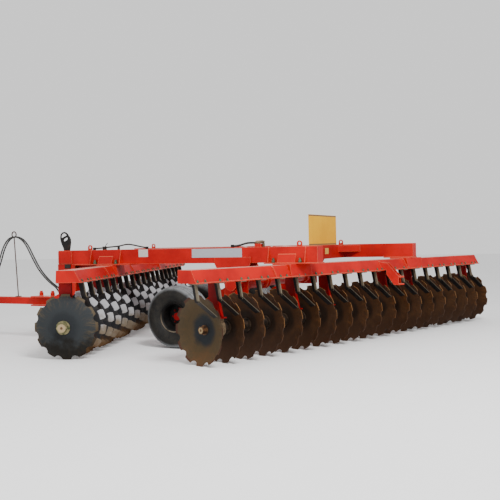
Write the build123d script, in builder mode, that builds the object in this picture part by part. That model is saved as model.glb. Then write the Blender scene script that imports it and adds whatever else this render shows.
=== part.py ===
# Heavy trailed offset disc harrow, in millimetres.
# +X runs rearward, +Y to the far (right-hand) side and +Z up.
# The origin is the centre of the hitch eye at the front end of the drawbar.
from build123d import *
from collections import namedtuple
from math import atan2, cos, degrees, hypot, pi, radians, sin, tan
import os

os.makedirs("parts", exist_ok=True)

# Heights, all measured from the ground under the discs
EYE_HEIGHT = 620
GROUND = -EYE_HEIGHT

# Discs and gangs
DISC_D = 864
DISC_T = 10
DISC_DEPTH = 105
DISC_FLAT_R = 95
NOTCHES = 12
NOTCH_R = 58
NOTCH_CENTRE_OUT = 16
NOTCH_TURN = 11
SPACING = 356
DISCS_IN_SECTION = (6, 6, 7)
FRONT_ANGLE = 20.5
REAR_ANGLE = 18.2
FRONT_GANG_X = 4331
FRONT_GANG_Y = -1608
REAR_GANG_X = 6280
REAR_GANG_Y = -1504
SHAFT_R = 27
DISC_BORE_GAP = 0.5
SPOOL_R = 60
SPOOL_FLANGE_R = 88
SPOOL_FLANGE_T = 20
END_WASHER_T = 14
NUT_T = 56
HOLLOW_WASHER_R = 62
HOLLOW_NUT_ACROSS = 88
CONVEX_WASHER_R = 92
CONVEX_NUT_ACROSS = 122
RUN_CLEARANCE = 0.1

# Bearings and standards
BEARING_R = 112
BEARING_LENGTH = 130
BEARING_SEAT = 130
BEARING_PAD = 150
STANDARD_T = 40
STANDARD_TOP = (-115, 60)
STANDARD_KNEE = (-105, 62)
STANDARD_FOOT = (-70, 128)
STANDARD_KNEE_DROP = 216
STANDARD_PLATE_T = 16
STANDARD_PLATE_OVER = 10
STANDARD_PLATE_LENGTH = 130

# Gang beams: section across the gang, measured rearward from the shaft
BEAM_TOP = (-50, 190)
BEAM_BOTTOM = (-58, 270)
BEAM_BOTTOM_HEIGHT = 1030
BEAM_HEIGHT = 147
BEAM_TOP_HEIGHT = BEAM_BOTTOM_HEIGHT + BEAM_HEIGHT
BEAM_FLANGE_T = 12
BEAM_FLANGE = (-58, 286)
BEAM_RIB_T = 16
BEAM_RIB_OUT = (225, 27)
WEDGE_TOP_OUT = 250
WEDGE_LOW_OUT = 278
WEDGE_LENGTH = 420

# Scrapers, one for each disc, on the hollow side and the rear side
ARM_T = 20
ARM_TOP = (135, 212)
ARM_BOTTOM = (188, 258)
ARM_BOTTOM_UP = 360
ARM_FOOT = (120, 278)
ARM_FOOT_T = 12
ARM_FOOT_LENGTH = 96
BLADE_T = 8
BLADE_WIDTH = 92
BLADE_TOP = (226, 374)
BLADE_TIP = (322, 180)
BLADE_TIP_GAP = 10

# Main frame
MAIN_WIDTH = 200
MAIN_HEIGHT = 216
SEAT_HEIGHT = 28
MAIN_BOTTOM_HEIGHT = BEAM_TOP_HEIGHT + SEAT_HEIGHT
MAIN_TOP_HEIGHT = MAIN_BOTTOM_HEIGHT + MAIN_HEIGHT
FAR_BEAM_Y = 2610
NEAR_BEAM_X = (2911, 7283)
FAR_BEAM_X = (2500, 7875)
FRONT_CROSS_X = (4500, 4700)
REAR_CROSS_X = (6510, 6722)
GUSSET_SIDE = 280
GUSSET_DROP = 20
GUSSET_T = 100
SLOT_CLEARANCE = 0.3
SLEEVE_X = (2915, 3186)
SLEEVE_T = 12
SLEEVE_UP = 14

# Seats that bolt the main beams down on the gang beams
SEAT_WIDTH = 300
SEAT_PAD_LENGTH = 460
SEAT_RIB_T = 12
SEAT_RIB_OUT = 50
SEAT_COVER_LENGTH = 260
SEAT_COVER_UP = 118
SEAT_BOLT_R = 15
SEAT_BOLT_UP = 62

# Rockshaft, wheel arms and wheels
ROCK_X = 6020
ROCK_DROP = 305
ROCK_HEIGHT = MAIN_BOTTOM_HEIGHT - ROCK_DROP
ROCK_R = 80
ROCK_OVERHANG = 170
ARM_FROM_BEAM = 190
WHEEL_ARM_WIDTH = 110
WHEEL_X = 5145
TYRE_R = 446
TYRE_WIDTH = 400
TYRE_FROM_ARM = 327
RIM_R = 215
RIM_T = 12
TYRE_BEAD_R = 197
AXLE_R = 40
HUB_R = 75
AXLE_OUT = 40
HUB_OUT = 45
HUB_LENGTH = 150
DISH_IN = 30
RIM_INSET = 45
TYRE_WALL_R = 330
SHOULDER = 30
CROWN = 22
ARM_COLLAR = 30
BRACKET_T = 20
BRACKET_TOP_UP = 80
BRACKET_TOP_HALF = 285
BRACKET_LOW_HALF = 125
BRACKET_BELOW = 130

# Lift cylinders between the rear cross beam and the rockshaft cranks
CYLINDER_Y = (850, 1760)
CRANK_X = 5720
CRANK_UP = 485
CRANK_HEIGHT = ROCK_HEIGHT + CRANK_UP
CRANK_T = 24
CRANK_GAP = 5
ANCHOR_X = 6405
ANCHOR_UP = 130
ANCHOR_HEIGHT = MAIN_BOTTOM_HEIGHT + ANCHOR_UP
PIN_R = 20
ROD_EYE_PLAY = 10
BARREL_R = 58
BARREL_START = 52
BARREL_LENGTH = 400
BARREL_BASE = 30
ROD_START = 230
LUG_HALF = 70
ROD_R = 25
EYE_R = 44
EYE_WIDTH = 60

# Hitch: hanger under the near beam, yoke and drawbar
HINGE_X = 2830
HINGE_HEIGHT = EYE_HEIGHT
HINGE_R = 25
HANGER_X = (2890, 3230)
HANGER_PLATE_T = 25
HANGER_SPREAD = 190
HANGER_FOOT_UP = 120
HANGER_LOW_HALF = 62
HANGER_WEB_X = 3080
HANGER_WEB_HEIGHT = 180
SIDE_CLEARANCE = 5
YOKE_X = (2330, 2745)
YOKE_T = 22
YOKE_WIDTH = 240
DRAWBAR_HEIGHT = 116
DRAWBAR_WIDTH = 130
DRAWBAR_REAR_X = 2730
HITCH_PIN_X = (2450, 2685)
HITCH_PIN_R = 22
HITCH_PIN_UP = 80
EYE_NECK_X = 130
EYE_BORE_R = 21
EYE_OUTER_R = 65
EYE_THICKNESS = 50
LEVEL_BAR_X = (2945, 3055)
LEVEL_BAR_T = 22
LEVEL_EYE_X = 2938
LEVEL_EYE_UP = 231
LEVEL_EYE_HEIGHT = MAIN_TOP_HEIGHT + LEVEL_EYE_UP
LEVEL_EYE_R = 62
LEVEL_BORE_R = 38
LEVEL_SMALL_R = 26
LEVEL_SMALL_PLACE = (38, -84)
LEVEL_HEAD = (-30, -6)
LEVEL_BAR_DROP = 205

# Hose rod on the drawbar, heights measured from the hitch eye
ROD_FOOT_X = 1956
RING_X = 1893
RING_UP = 1080
ROD_RADIUS = 9
RING_R = 45
RING_WIRE_R = 10
HOSE_PIN_HALF = 30
ROD_FOOT_SIDE = 70
ROD_FOOT_T = 10

# Two hoses from a block on the yoke, over the rod's ring, to couplers parked on the drawbar
HOSE_R = 12
HOSE_Y = 24
HOSE_ROUTE = (
    (2870, 77),
    (2820, 195),
    (2645, 292),
    (2440, 475),
    (2300, 685),
    (2165, 915),
    (2040, 1020),
    (1900, 1048),
    (1775, 1008),
    (1655, 860),
    (1560, 605),
    (1440, 380),
    (1290, 210),
    (1120, 132),
    (975, 108),
)
BEND_SHARE = 0.45
BULKHEAD_X = (2845, 2895)
BULKHEAD_Z = (50, 92)
BULKHEAD_HALF = 45
COUPLER_BLOCK_X = (950, 990)
COUPLER_BLOCK_UP = 72
COUPLER_R = 17
COUPLER_LENGTH = 65

# Hoses, clips and valves on top of the near beam, heights measured from its top
TOP_HOSE_R = 11
TOP_HOSE_ROUTE = (
    (3538, 20),
    (3690, 27),
    (3850, 42),
    (4010, 50),
    (4165, 82),
    (4300, 62),
    (4415, 36),
    (4528, 20),
)
VALVE_HOSE_R = 14
VALVE_HOSE_ROUTE = (
    (5968, 17),
    (6070, 22),
    (6180, 56),
    (6270, 62),
    (6345, 58),
)
CLIPS = ((3530, 3560, 38), (3996, 4014, 46), (4508, 4538, 38), (5950, 5985, 40))
CLIP_HALF = 20
SHUT_OFF_X = (3715, 3765)
SHUT_OFF_UP = 52
LEVER_R = 5
LEVER = ((3741, 40), (3796, 104))
VALVE_X = (6330, 6490)
VALVE_HALF = 45
VALVE_BASE_UP = 42
VALVE_UP = 95
VALVE_IN = 14

# Sign on the rear cross beam
SIGN_Y = (1280, 2480)
SIGN_HEIGHT = 475
SIGN_T = 4
SIGN_X = 6598
SIGN_POST = 30
SIGN_POST_IN = 150

# Lifting eyes and rear tow bracket
EYE_PLATE_T = 16
LIFT_EYE_R = 38
LIFT_BORE_R = 20
LIFT_EYE_UP = 40
LIFT_EYES = ((3462, 0), (6990, 0), (2876, FAR_BEAM_Y), (6634, FAR_BEAM_Y))
TOW_Y = 1775
TOW_REACH = 520
TOW_HALF_WIDTH = 70
TOW_PLATE_T = 16
TOW_JAW_R = 45
TOW_BORE_R = 17
TOW_JAW_T = 20
TOW_JAW_GAP = 90
TOW_DROP = 162
TOW_HEIGHT = BEAM_BOTTOM_HEIGHT - TOW_DROP
TOW_TOP_IN = 150
TOW_SHOULDER = (330, 50)
TOW_TOP_DROP = 12
TOW_UNDER = (316, 70)
TOW_PLATE_SHORT = 20
TOW_NECK_IN = 90

Gang = namedtuple("Gang", "name x y turn side start end arm_gap ribs")
GANGS = (
    Gang("front", FRONT_GANG_X, FRONT_GANG_Y, -FRONT_ANGLE, -1, 200, 165, 103, (1060, 2455)),
    Gang("rear", REAR_GANG_X, REAR_GANG_Y, REAR_ANGLE, 1, 260, 0, 200, (1106, 4118)),
)
FRONT, REAR = GANGS
Seat = namedtuple("Seat", "gang y shift front rear ribs bolts sides")
SEATS = (
    Seat(FRONT, 0, 36, 570, 440, 275, 195, (-1, 1)),
    Seat(FRONT, FAR_BEAM_Y, 0, 312, 400, 270, 195, (-1, 1)),
    Seat(REAR, 0, 0, 327, 435, 270, 195, (-1,)),
    Seat(REAR, FAR_BEAM_Y, -67, 233, 232, 210, 170, (1,)),
)
DISC_COUNT = sum(DISCS_IN_SECTION)
SHAFT_HEIGHT = DISC_D / 2


def gang_plane(gang, along):
    """Plane square to a gang's shaft: x rearward, y up, facing the near side."""
    turn = radians(gang.turn)
    origin = (gang.x + along * sin(turn), gang.y + along * cos(turn), GROUND + SHAFT_HEIGHT)
    return Plane(origin, x_dir=(cos(turn), -sin(turn), 0), z_dir=(-sin(turn), -cos(turn), 0))


def up(height):
    """Height above the ground as a height above the shaft."""
    return height - SHAFT_HEIGHT


def hub_start(gang, disc):
    """Place along the shaft where a disc's flat centre begins."""
    if gang.side > 0:
        return disc * SPACING + DISC_DEPTH
    return disc * SPACING - DISC_DEPTH - DISC_T


def bearing_at(gang, disc):
    """Middle of the gap between a disc and the next one."""
    return (hub_start(gang, disc) + DISC_T + hub_start(gang, disc + 1)) / 2


def sections():
    """First and last disc of each section of a gang."""
    first = 0
    for count in DISCS_IN_SECTION:
        yield first, first + count - 1
        first += count


def bearing_gaps():
    """Discs after which a bearing sits: the first and last gap of each section."""
    for first, last in sections():
        yield first
        yield last - 1


def crossing_along(gang, y):
    """Place along the shaft where the middle of a gang beam passes under a main beam."""
    turn = radians(gang.turn)
    middle = (BEAM_TOP[0] + BEAM_TOP[1]) / 2
    return (y - gang.y + middle * sin(turn)) / cos(turn)


def beam_crossing(gang, y):
    """X where the middle of a gang beam passes under a line along the machine."""
    turn = radians(gang.turn)
    middle = (BEAM_TOP[0] + BEAM_TOP[1]) / 2
    return gang.x + crossing_along(gang, y) * sin(turn) + middle * cos(turn)


def blade_place(gang, disc):
    """Plane along the middle of a scraper blade and the blade's length."""
    frame = gang_plane(gang, disc * SPACING)
    ends = []
    for gap, (rearward, rise) in ((gang.arm_gap, BLADE_TOP), (BLADE_TIP_GAP, BLADE_TIP)):
        local = Vector(rearward, rise, gang.side * gap)
        ends.append(frame.from_local_coords(local))
    run = ends[1] - ends[0]
    across = frame.x_dir - run.normalized() * frame.x_dir.dot(run.normalized())
    return Plane(ends[0], x_dir=run, z_dir=run.cross(across)), run.length


def save(piece, name):
    piece.part.label = name
    export_step(piece.part, f"parts/{name}.step")


# One notched disc: a dished plate with a flat centre, hollow towards +Z
with BuildPart() as disc:
    with BuildSketch(Plane.XZ) as disc_profile:
        with BuildLine():
            rim_r = DISC_D / 2
            mid_r = (DISC_FLAT_R + rim_r) / 2
            mid_drop = DISC_DEPTH * (1 - ((mid_r - DISC_FLAT_R) / (rim_r - DISC_FLAT_R)) ** 2) * 0.9
            hollow = ThreePointArc((rim_r, 0), (mid_r, -mid_drop), (DISC_FLAT_R, -DISC_DEPTH))
            flat = Line(hollow @ 1, (0, -DISC_DEPTH))
            centre = Line(flat @ 1, (0, -DISC_DEPTH - DISC_T))
            back_flat = Line(centre @ 1, (DISC_FLAT_R, -DISC_DEPTH - DISC_T))
            back = ThreePointArc(back_flat @ 1, (mid_r, -mid_drop - DISC_T), (rim_r, -DISC_T / 2))
            Line(back @ 1, hollow @ 0)
        make_face()
    revolve(axis=Axis.Z)
    with BuildSketch(Plane.XY.offset(-DISC_DEPTH)):
        with PolarLocations(rim_r + NOTCH_CENTRE_OUT, NOTCHES):
            Circle(NOTCH_R)
    extrude(amount=2 * DISC_DEPTH, mode=Mode.SUBTRACT)
    with BuildSketch(Plane.XY.offset(-2 * DISC_DEPTH)):
        Circle(SHAFT_R + DISC_BORE_GAP)
    extrude(amount=2 * DISC_DEPTH, mode=Mode.SUBTRACT)

# Discs and axles of the six gang sections
for gang in GANGS:
    for number, (first, last) in enumerate(sections(), start=1):
        with BuildPart() as discs:
            for k in range(first, last + 1):
                rim = gang_plane(gang, k * SPACING)
                if gang.side < 0:
                    rim = Plane(rim.origin, x_dir=-rim.x_dir, z_dir=-rim.z_dir)
                with Locations(rim.location * Rotation(0, 0, 180 / NOTCHES + k * NOTCH_TURN)):
                    add(disc.part)
        save(discs, f"{gang.name}_discs_{number}")

        near_end = hub_start(gang, first)
        far_end = hub_start(gang, last) + DISC_T
        with BuildPart() as axle:
            with BuildSketch(gang_plane(gang, near_end - END_WASHER_T - NUT_T)):
                Circle(SHAFT_R)
            extrude(amount=-(far_end - near_end + 2 * END_WASHER_T + 2 * NUT_T))
            for k in range(first, last):
                start = hub_start(gang, k) + DISC_T
                length = SPACING - DISC_T
                with BuildSketch(gang_plane(gang, start)):
                    Circle(SPOOL_R)
                extrude(amount=-length)
                for edge in (start, start + length - SPOOL_FLANGE_T):
                    with BuildSketch(gang_plane(gang, edge)):
                        Circle(SPOOL_FLANGE_R)
                    extrude(amount=-SPOOL_FLANGE_T)
            for washer, nut, hollow_end in (
                (near_end - END_WASHER_T, near_end - END_WASHER_T - NUT_T, gang.side > 0),
                (far_end, far_end + END_WASHER_T, gang.side < 0),
            ):
                with BuildSketch(gang_plane(gang, washer)):
                    Circle(HOLLOW_WASHER_R if hollow_end else CONVEX_WASHER_R)
                extrude(amount=-END_WASHER_T)
                across = HOLLOW_NUT_ACROSS if hollow_end else CONVEX_NUT_ACROSS
                with BuildSketch(gang_plane(gang, nut)):
                    RegularPolygon(across / 2, 6, major_radius=False)
                extrude(amount=-NUT_T)
        save(axle, f"{gang.name}_axle_{number}")

# Bearings, standards, gang beams and scrapers
for gang in GANGS:
    with BuildPart() as bearings:
        for k in bearing_gaps():
            edge = bearing_at(gang, k) - BEARING_LENGTH / 2
            with BuildSketch(gang_plane(gang, edge)):
                Circle(BEARING_R)
                with Locations((0, BEARING_SEAT / 2)):
                    Rectangle(BEARING_PAD, BEARING_SEAT)
                Circle(SPOOL_R + RUN_CLEARANCE, mode=Mode.SUBTRACT)
            extrude(amount=-BEARING_LENGTH)
    save(bearings, f"{gang.name}_bearings")

    flange_bottom = BEAM_BOTTOM_HEIGHT - BEAM_FLANGE_T
    with BuildPart() as standards:
        for k in bearing_gaps():
            middle = bearing_at(gang, k)
            with BuildSketch(gang_plane(gang, middle - STANDARD_T / 2)):
                with BuildLine():
                    Polyline(
                        (STANDARD_TOP[0], up(flange_bottom)),
                        (STANDARD_TOP[1], up(flange_bottom)),
                        (STANDARD_KNEE[1], up(flange_bottom) - STANDARD_KNEE_DROP),
                        (STANDARD_FOOT[1], BEARING_SEAT),
                        (STANDARD_FOOT[0], BEARING_SEAT),
                        (STANDARD_KNEE[0], up(flange_bottom) - STANDARD_KNEE_DROP),
                        close=True,
                    )
                make_face()
            extrude(amount=-STANDARD_T)
            with BuildSketch(gang_plane(gang, middle - STANDARD_PLATE_LENGTH / 2)):
                with Locations(((STANDARD_TOP[0] + STANDARD_TOP[1]) / 2, up(flange_bottom) - STANDARD_PLATE_T / 2)):
                    Rectangle(STANDARD_TOP[1] - STANDARD_TOP[0] + 2 * STANDARD_PLATE_OVER, STANDARD_PLATE_T)
                with Locations(((STANDARD_FOOT[0] + STANDARD_FOOT[1]) / 2, BEARING_SEAT + STANDARD_PLATE_T / 2)):
                    Rectangle(STANDARD_FOOT[1] - STANDARD_FOOT[0], STANDARD_PLATE_T)
            extrude(amount=-STANDARD_PLATE_LENGTH)
    save(standards, f"{gang.name}_standards")

    with BuildPart() as gang_beam:
        with BuildSketch(gang_plane(gang, -gang.start)):
            with BuildLine():
                Polyline(
                    (BEAM_TOP[0], up(BEAM_TOP_HEIGHT)),
                    (BEAM_TOP[1], up(BEAM_TOP_HEIGHT)),
                    (BEAM_BOTTOM[1], up(BEAM_BOTTOM_HEIGHT)),
                    (BEAM_FLANGE[1], up(BEAM_BOTTOM_HEIGHT)),
                    (BEAM_FLANGE[1], up(flange_bottom)),
                    (BEAM_FLANGE[0], up(flange_bottom)),
                    (BEAM_BOTTOM[0], up(BEAM_BOTTOM_HEIGHT)),
                    close=True,
                )
            make_face()
        extrude(amount=-(gang.start + (DISC_COUNT - 1) * SPACING + gang.end))
    save(gang_beam, f"{gang.name}_gang_beam")
    rear_beam = gang_beam.part

    with BuildPart() as scrapers:
        for k in range(DISC_COUNT):
            middle = k * SPACING - gang.side * gang.arm_gap
            with BuildSketch(gang_plane(gang, middle - ARM_T / 2)):
                with BuildLine():
                    Polyline(
                        (ARM_TOP[0], up(flange_bottom)),
                        (ARM_TOP[1], up(flange_bottom)),
                        (ARM_BOTTOM[1], ARM_BOTTOM_UP),
                        (ARM_BOTTOM[0], ARM_BOTTOM_UP),
                        close=True,
                    )
                make_face()
            extrude(amount=-ARM_T)
            with BuildSketch(gang_plane(gang, middle - ARM_FOOT_LENGTH / 2)):
                with Locations(((ARM_FOOT[0] + ARM_FOOT[1]) / 2, up(flange_bottom) - ARM_FOOT_T / 2)):
                    Rectangle(ARM_FOOT[1] - ARM_FOOT[0], ARM_FOOT_T)
            extrude(amount=-ARM_FOOT_LENGTH)
            blade_plane, blade_length = blade_place(gang, k)
            with BuildSketch(blade_plane):
                with Locations((blade_length / 2, 0)):
                    Rectangle(blade_length, BLADE_WIDTH)
            extrude(amount=BLADE_T / 2, both=True)
    save(scrapers, f"{gang.name}_scrapers")

# Main beams, hitch sleeve and cross beams
for name, y, ends in (("near", 0, NEAR_BEAM_X), ("far", FAR_BEAM_Y, FAR_BEAM_X)):
    with BuildPart() as main_beam:
        with BuildSketch(Plane.XY.offset(GROUND + MAIN_BOTTOM_HEIGHT)):
            with Locations(((ends[0] + ends[1]) / 2, y)):
                Rectangle(ends[1] - ends[0], MAIN_WIDTH)
        extrude(amount=MAIN_HEIGHT)
        if name == "near":
            with BuildSketch(Plane.XY.offset(GROUND + MAIN_BOTTOM_HEIGHT)):
                with Locations(((LEVEL_BAR_X[0] + LEVEL_BAR_X[1]) / 2, 0)):
                    Rectangle(
                        LEVEL_BAR_X[1] - LEVEL_BAR_X[0] + 2 * SLOT_CLEARANCE,
                        LEVEL_BAR_T + 2 * SLOT_CLEARANCE,
                    )
            extrude(amount=MAIN_HEIGHT, mode=Mode.SUBTRACT)
    save(main_beam, f"{name}_main_beam")

inner_near = MAIN_WIDTH / 2
inner_far = FAR_BEAM_Y - MAIN_WIDTH / 2
rear_corners = ((inner_near, 1), (inner_far, -1))
for name, ends, gusseted in (("front", FRONT_CROSS_X, ()), ("rear", REAR_CROSS_X, rear_corners)):
    with BuildPart() as cross_beam:
        with BuildSketch(Plane.XY.offset(GROUND + MAIN_BOTTOM_HEIGHT)):
            with Locations(((ends[0] + ends[1]) / 2, (inner_near + inner_far) / 2)):
                Rectangle(ends[1] - ends[0], inner_far - inner_near)
        extrude(amount=MAIN_HEIGHT)
        for corner, into in gusseted:
            with BuildSketch(Plane.XY.offset(GROUND + MAIN_TOP_HEIGHT - GUSSET_DROP)):
                with BuildLine():
                    Polyline(
                        (ends[1], corner),
                        (ends[1] + GUSSET_SIDE, corner),
                        (ends[1], corner + into * GUSSET_SIDE),
                        close=True,
                    )
                make_face()
            extrude(amount=-GUSSET_T)
    save(cross_beam, f"{name}_cross_beam")

# Sleeve plates on both faces of the near beam's front end
with BuildPart() as sleeve:
    for side in (-1, 1):
        with BuildSketch(Plane.XZ.offset(side * MAIN_WIDTH / 2)):
            with Locations(((SLEEVE_X[0] + SLEEVE_X[1]) / 2, GROUND + (MAIN_BOTTOM_HEIGHT + MAIN_TOP_HEIGHT) / 2)):
                Rectangle(SLEEVE_X[1] - SLEEVE_X[0], MAIN_HEIGHT - 2 * SLEEVE_UP)
        extrude(amount=side * SLEEVE_T)
save(sleeve, "hitch_sleeve")

# Seats that bolt the main beams to the gang beams
seat_top = GROUND + MAIN_BOTTOM_HEIGHT
seat_middle = (MAIN_BOTTOM_HEIGHT + BEAM_TOP_HEIGHT) / 2
with BuildPart() as seats:
    for seat in SEATS:
        crossing = beam_crossing(seat.gang, seat.y)
        with BuildSketch(Plane.XY.offset(GROUND + seat_middle)):
            with Locations((crossing + seat.shift + (seat.rear - seat.front) / 2, seat.y)):
                Rectangle(seat.front + seat.rear, SEAT_WIDTH)
        extrude(amount=MAIN_BOTTOM_HEIGHT - seat_middle)
        with BuildSketch(Plane.XY.offset(GROUND + BEAM_TOP_HEIGHT)):
            with Locations(Location((crossing, seat.y), -seat.gang.turn)):
                Rectangle(BEAM_TOP[1] - BEAM_TOP[0], SEAT_PAD_LENGTH)
        extrude(amount=seat_middle - BEAM_TOP_HEIGHT)
save(seats, "gang_seats")

# Ribs, sloping covers and studs of the seats against the main beams
with BuildPart() as seat_ribs:
    for seat in SEATS:
        x = beam_crossing(seat.gang, seat.y) + seat.shift
        for out in seat.sides:
            face = seat.y + out * MAIN_WIDTH / 2
            for rib_x in (x - seat.ribs, x + seat.ribs):
                with BuildSketch(Plane.YZ.offset(rib_x - SEAT_RIB_T / 2)):
                    with BuildLine():
                        Polyline(
                            (face, seat_top),
                            (face + out * SEAT_RIB_OUT, seat_top),
                            (face + out * SEAT_RIB_OUT, seat_top + SEAT_RIB_T),
                            (face, seat_top + MAIN_HEIGHT),
                            close=True,
                        )
                    make_face()
                extrude(amount=SEAT_RIB_T)
            with BuildSketch(Plane.YZ.offset(x - SEAT_COVER_LENGTH / 2)):
                with BuildLine():
                    Polyline(
                        (face, seat_top),
                        (face + out * SEAT_RIB_OUT, seat_top),
                        (face, seat_top + SEAT_COVER_UP),
                        close=True,
                    )
                make_face()
            extrude(amount=SEAT_COVER_LENGTH)
            with BuildSketch(Plane.XY.offset(seat_top)):
                for bolt_x in (x - seat.bolts, x + seat.bolts):
                    with Locations((bolt_x, face + out * SEAT_RIB_OUT / 2)):
                        Circle(SEAT_BOLT_R)
            extrude(amount=SEAT_BOLT_UP)
save(seat_ribs, "seat_ribs")

# Ribs on the slanted faces of the gang beams and wedges under the seats
with BuildPart() as beam_ribs:
    for gang in GANGS:
        for along in gang.ribs:
            with BuildSketch(gang_plane(gang, along - BEAM_RIB_T / 2)):
                with BuildLine():
                    Polyline(
                        (BEAM_TOP[1], up(BEAM_TOP_HEIGHT)),
                        (BEAM_RIB_OUT[0], up(BEAM_TOP_HEIGHT) - BEAM_RIB_OUT[1]),
                        (BEAM_FLANGE[1], up(BEAM_BOTTOM_HEIGHT)),
                        (BEAM_BOTTOM[1], up(BEAM_BOTTOM_HEIGHT)),
                        close=True,
                    )
                make_face()
            extrude(amount=-BEAM_RIB_T)
    for seat in SEATS:
        along = crossing_along(seat.gang, seat.y) - WEDGE_LENGTH / 2
        with BuildSketch(gang_plane(seat.gang, along)):
            with BuildLine():
                Polyline(
                    (BEAM_TOP[1], up(BEAM_TOP_HEIGHT)),
                    (BEAM_TOP[1], up(seat_middle)),
                    (WEDGE_TOP_OUT, up(seat_middle)),
                    (WEDGE_LOW_OUT, up(BEAM_BOTTOM_HEIGHT)),
                    (BEAM_BOTTOM[1], up(BEAM_BOTTOM_HEIGHT)),
                    close=True,
                )
            make_face()
        extrude(amount=-WEDGE_LENGTH)
save(beam_ribs, "beam_gussets")

# Rockshaft brackets on both faces of both main beams
rock_z = GROUND + ROCK_HEIGHT
bracket_faces = [y + out * MAIN_WIDTH / 2 for y in (0, FAR_BEAM_Y) for out in (-1, 1)]
with BuildPart() as rock_brackets:
    for index, face in enumerate(bracket_faces):
        outward = -1 if index % 2 == 0 else 1
        with BuildSketch(Plane.XZ.offset(-face)):
            with BuildLine():
                Polyline(
                    (ROCK_X - BRACKET_TOP_HALF, seat_top + BRACKET_TOP_UP),
                    (ROCK_X + BRACKET_TOP_HALF, seat_top + BRACKET_TOP_UP),
                    (ROCK_X + BRACKET_TOP_HALF, seat_top),
                    (ROCK_X + BRACKET_LOW_HALF, rock_z),
                    (ROCK_X + BRACKET_LOW_HALF, rock_z - BRACKET_BELOW),
                    (ROCK_X - BRACKET_LOW_HALF, rock_z - BRACKET_BELOW),
                    (ROCK_X - BRACKET_LOW_HALF, rock_z),
                    (ROCK_X - BRACKET_TOP_HALF, seat_top),
                    close=True,
                )
            make_face()
            with Locations((ROCK_X, rock_z)):
                Circle(ROCK_R + RUN_CLEARANCE, mode=Mode.SUBTRACT)
        extrude(amount=-outward * BRACKET_T)
save(rock_brackets, "rockshaft_brackets")

# Rockshaft with its two wheel arms and the cylinder cranks
axle_z = GROUND + TYRE_R
crank_z = GROUND + CRANK_HEIGHT
arm_run = hypot(ROCK_X - WHEEL_X, rock_z - axle_z)
arm_turn = degrees(atan2(rock_z - axle_z, ROCK_X - WHEEL_X))
crank_run = hypot(ROCK_X - CRANK_X, crank_z - rock_z)
crank_turn = degrees(atan2(rock_z - crank_z, ROCK_X - CRANK_X))
wheel_arm_y = (ARM_FROM_BEAM, FAR_BEAM_Y - ARM_FROM_BEAM)
with BuildPart() as rockshaft:
    with BuildSketch(Plane.XZ.offset(ROCK_OVERHANG)):
        with Locations((ROCK_X, rock_z)):
            Circle(ROCK_R)
    extrude(amount=-(FAR_BEAM_Y + 2 * ROCK_OVERHANG))
    for y in wheel_arm_y:
        with BuildSketch(Plane.XZ.offset(-y - WHEEL_ARM_WIDTH / 2)):
            with Locations(Location(((ROCK_X + WHEEL_X) / 2, (rock_z + axle_z) / 2), arm_turn)):
                SlotCenterToCenter(arm_run, 2 * HUB_R)
            with Locations((ROCK_X, rock_z)):
                Circle(ROCK_R + ARM_COLLAR)
            with Locations((WHEEL_X, axle_z)):
                Circle(AXLE_R + RUN_CLEARANCE, mode=Mode.SUBTRACT)
        extrude(amount=WHEEL_ARM_WIDTH)
    for y in CYLINDER_Y:
        for side in (-1, 1):
            start = y + side * (EYE_WIDTH / 2 + CRANK_GAP)
            with BuildSketch(Plane.XZ.offset(-start)):
                with Locations(Location(((ROCK_X + CRANK_X) / 2, (rock_z + crank_z) / 2), crank_turn)):
                    SlotCenterToCenter(crank_run, 2 * EYE_R)
                with Locations((ROCK_X, rock_z)):
                    Circle(ROCK_R + ARM_COLLAR)
            extrude(amount=-side * CRANK_T)
        with BuildSketch(Plane.XZ.offset(-y)):
            with Locations((CRANK_X, crank_z)):
                Circle(PIN_R)
        extrude(amount=EYE_WIDTH / 2 + CRANK_GAP + CRANK_T, both=True)
save(rockshaft, "rockshaft")

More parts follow.
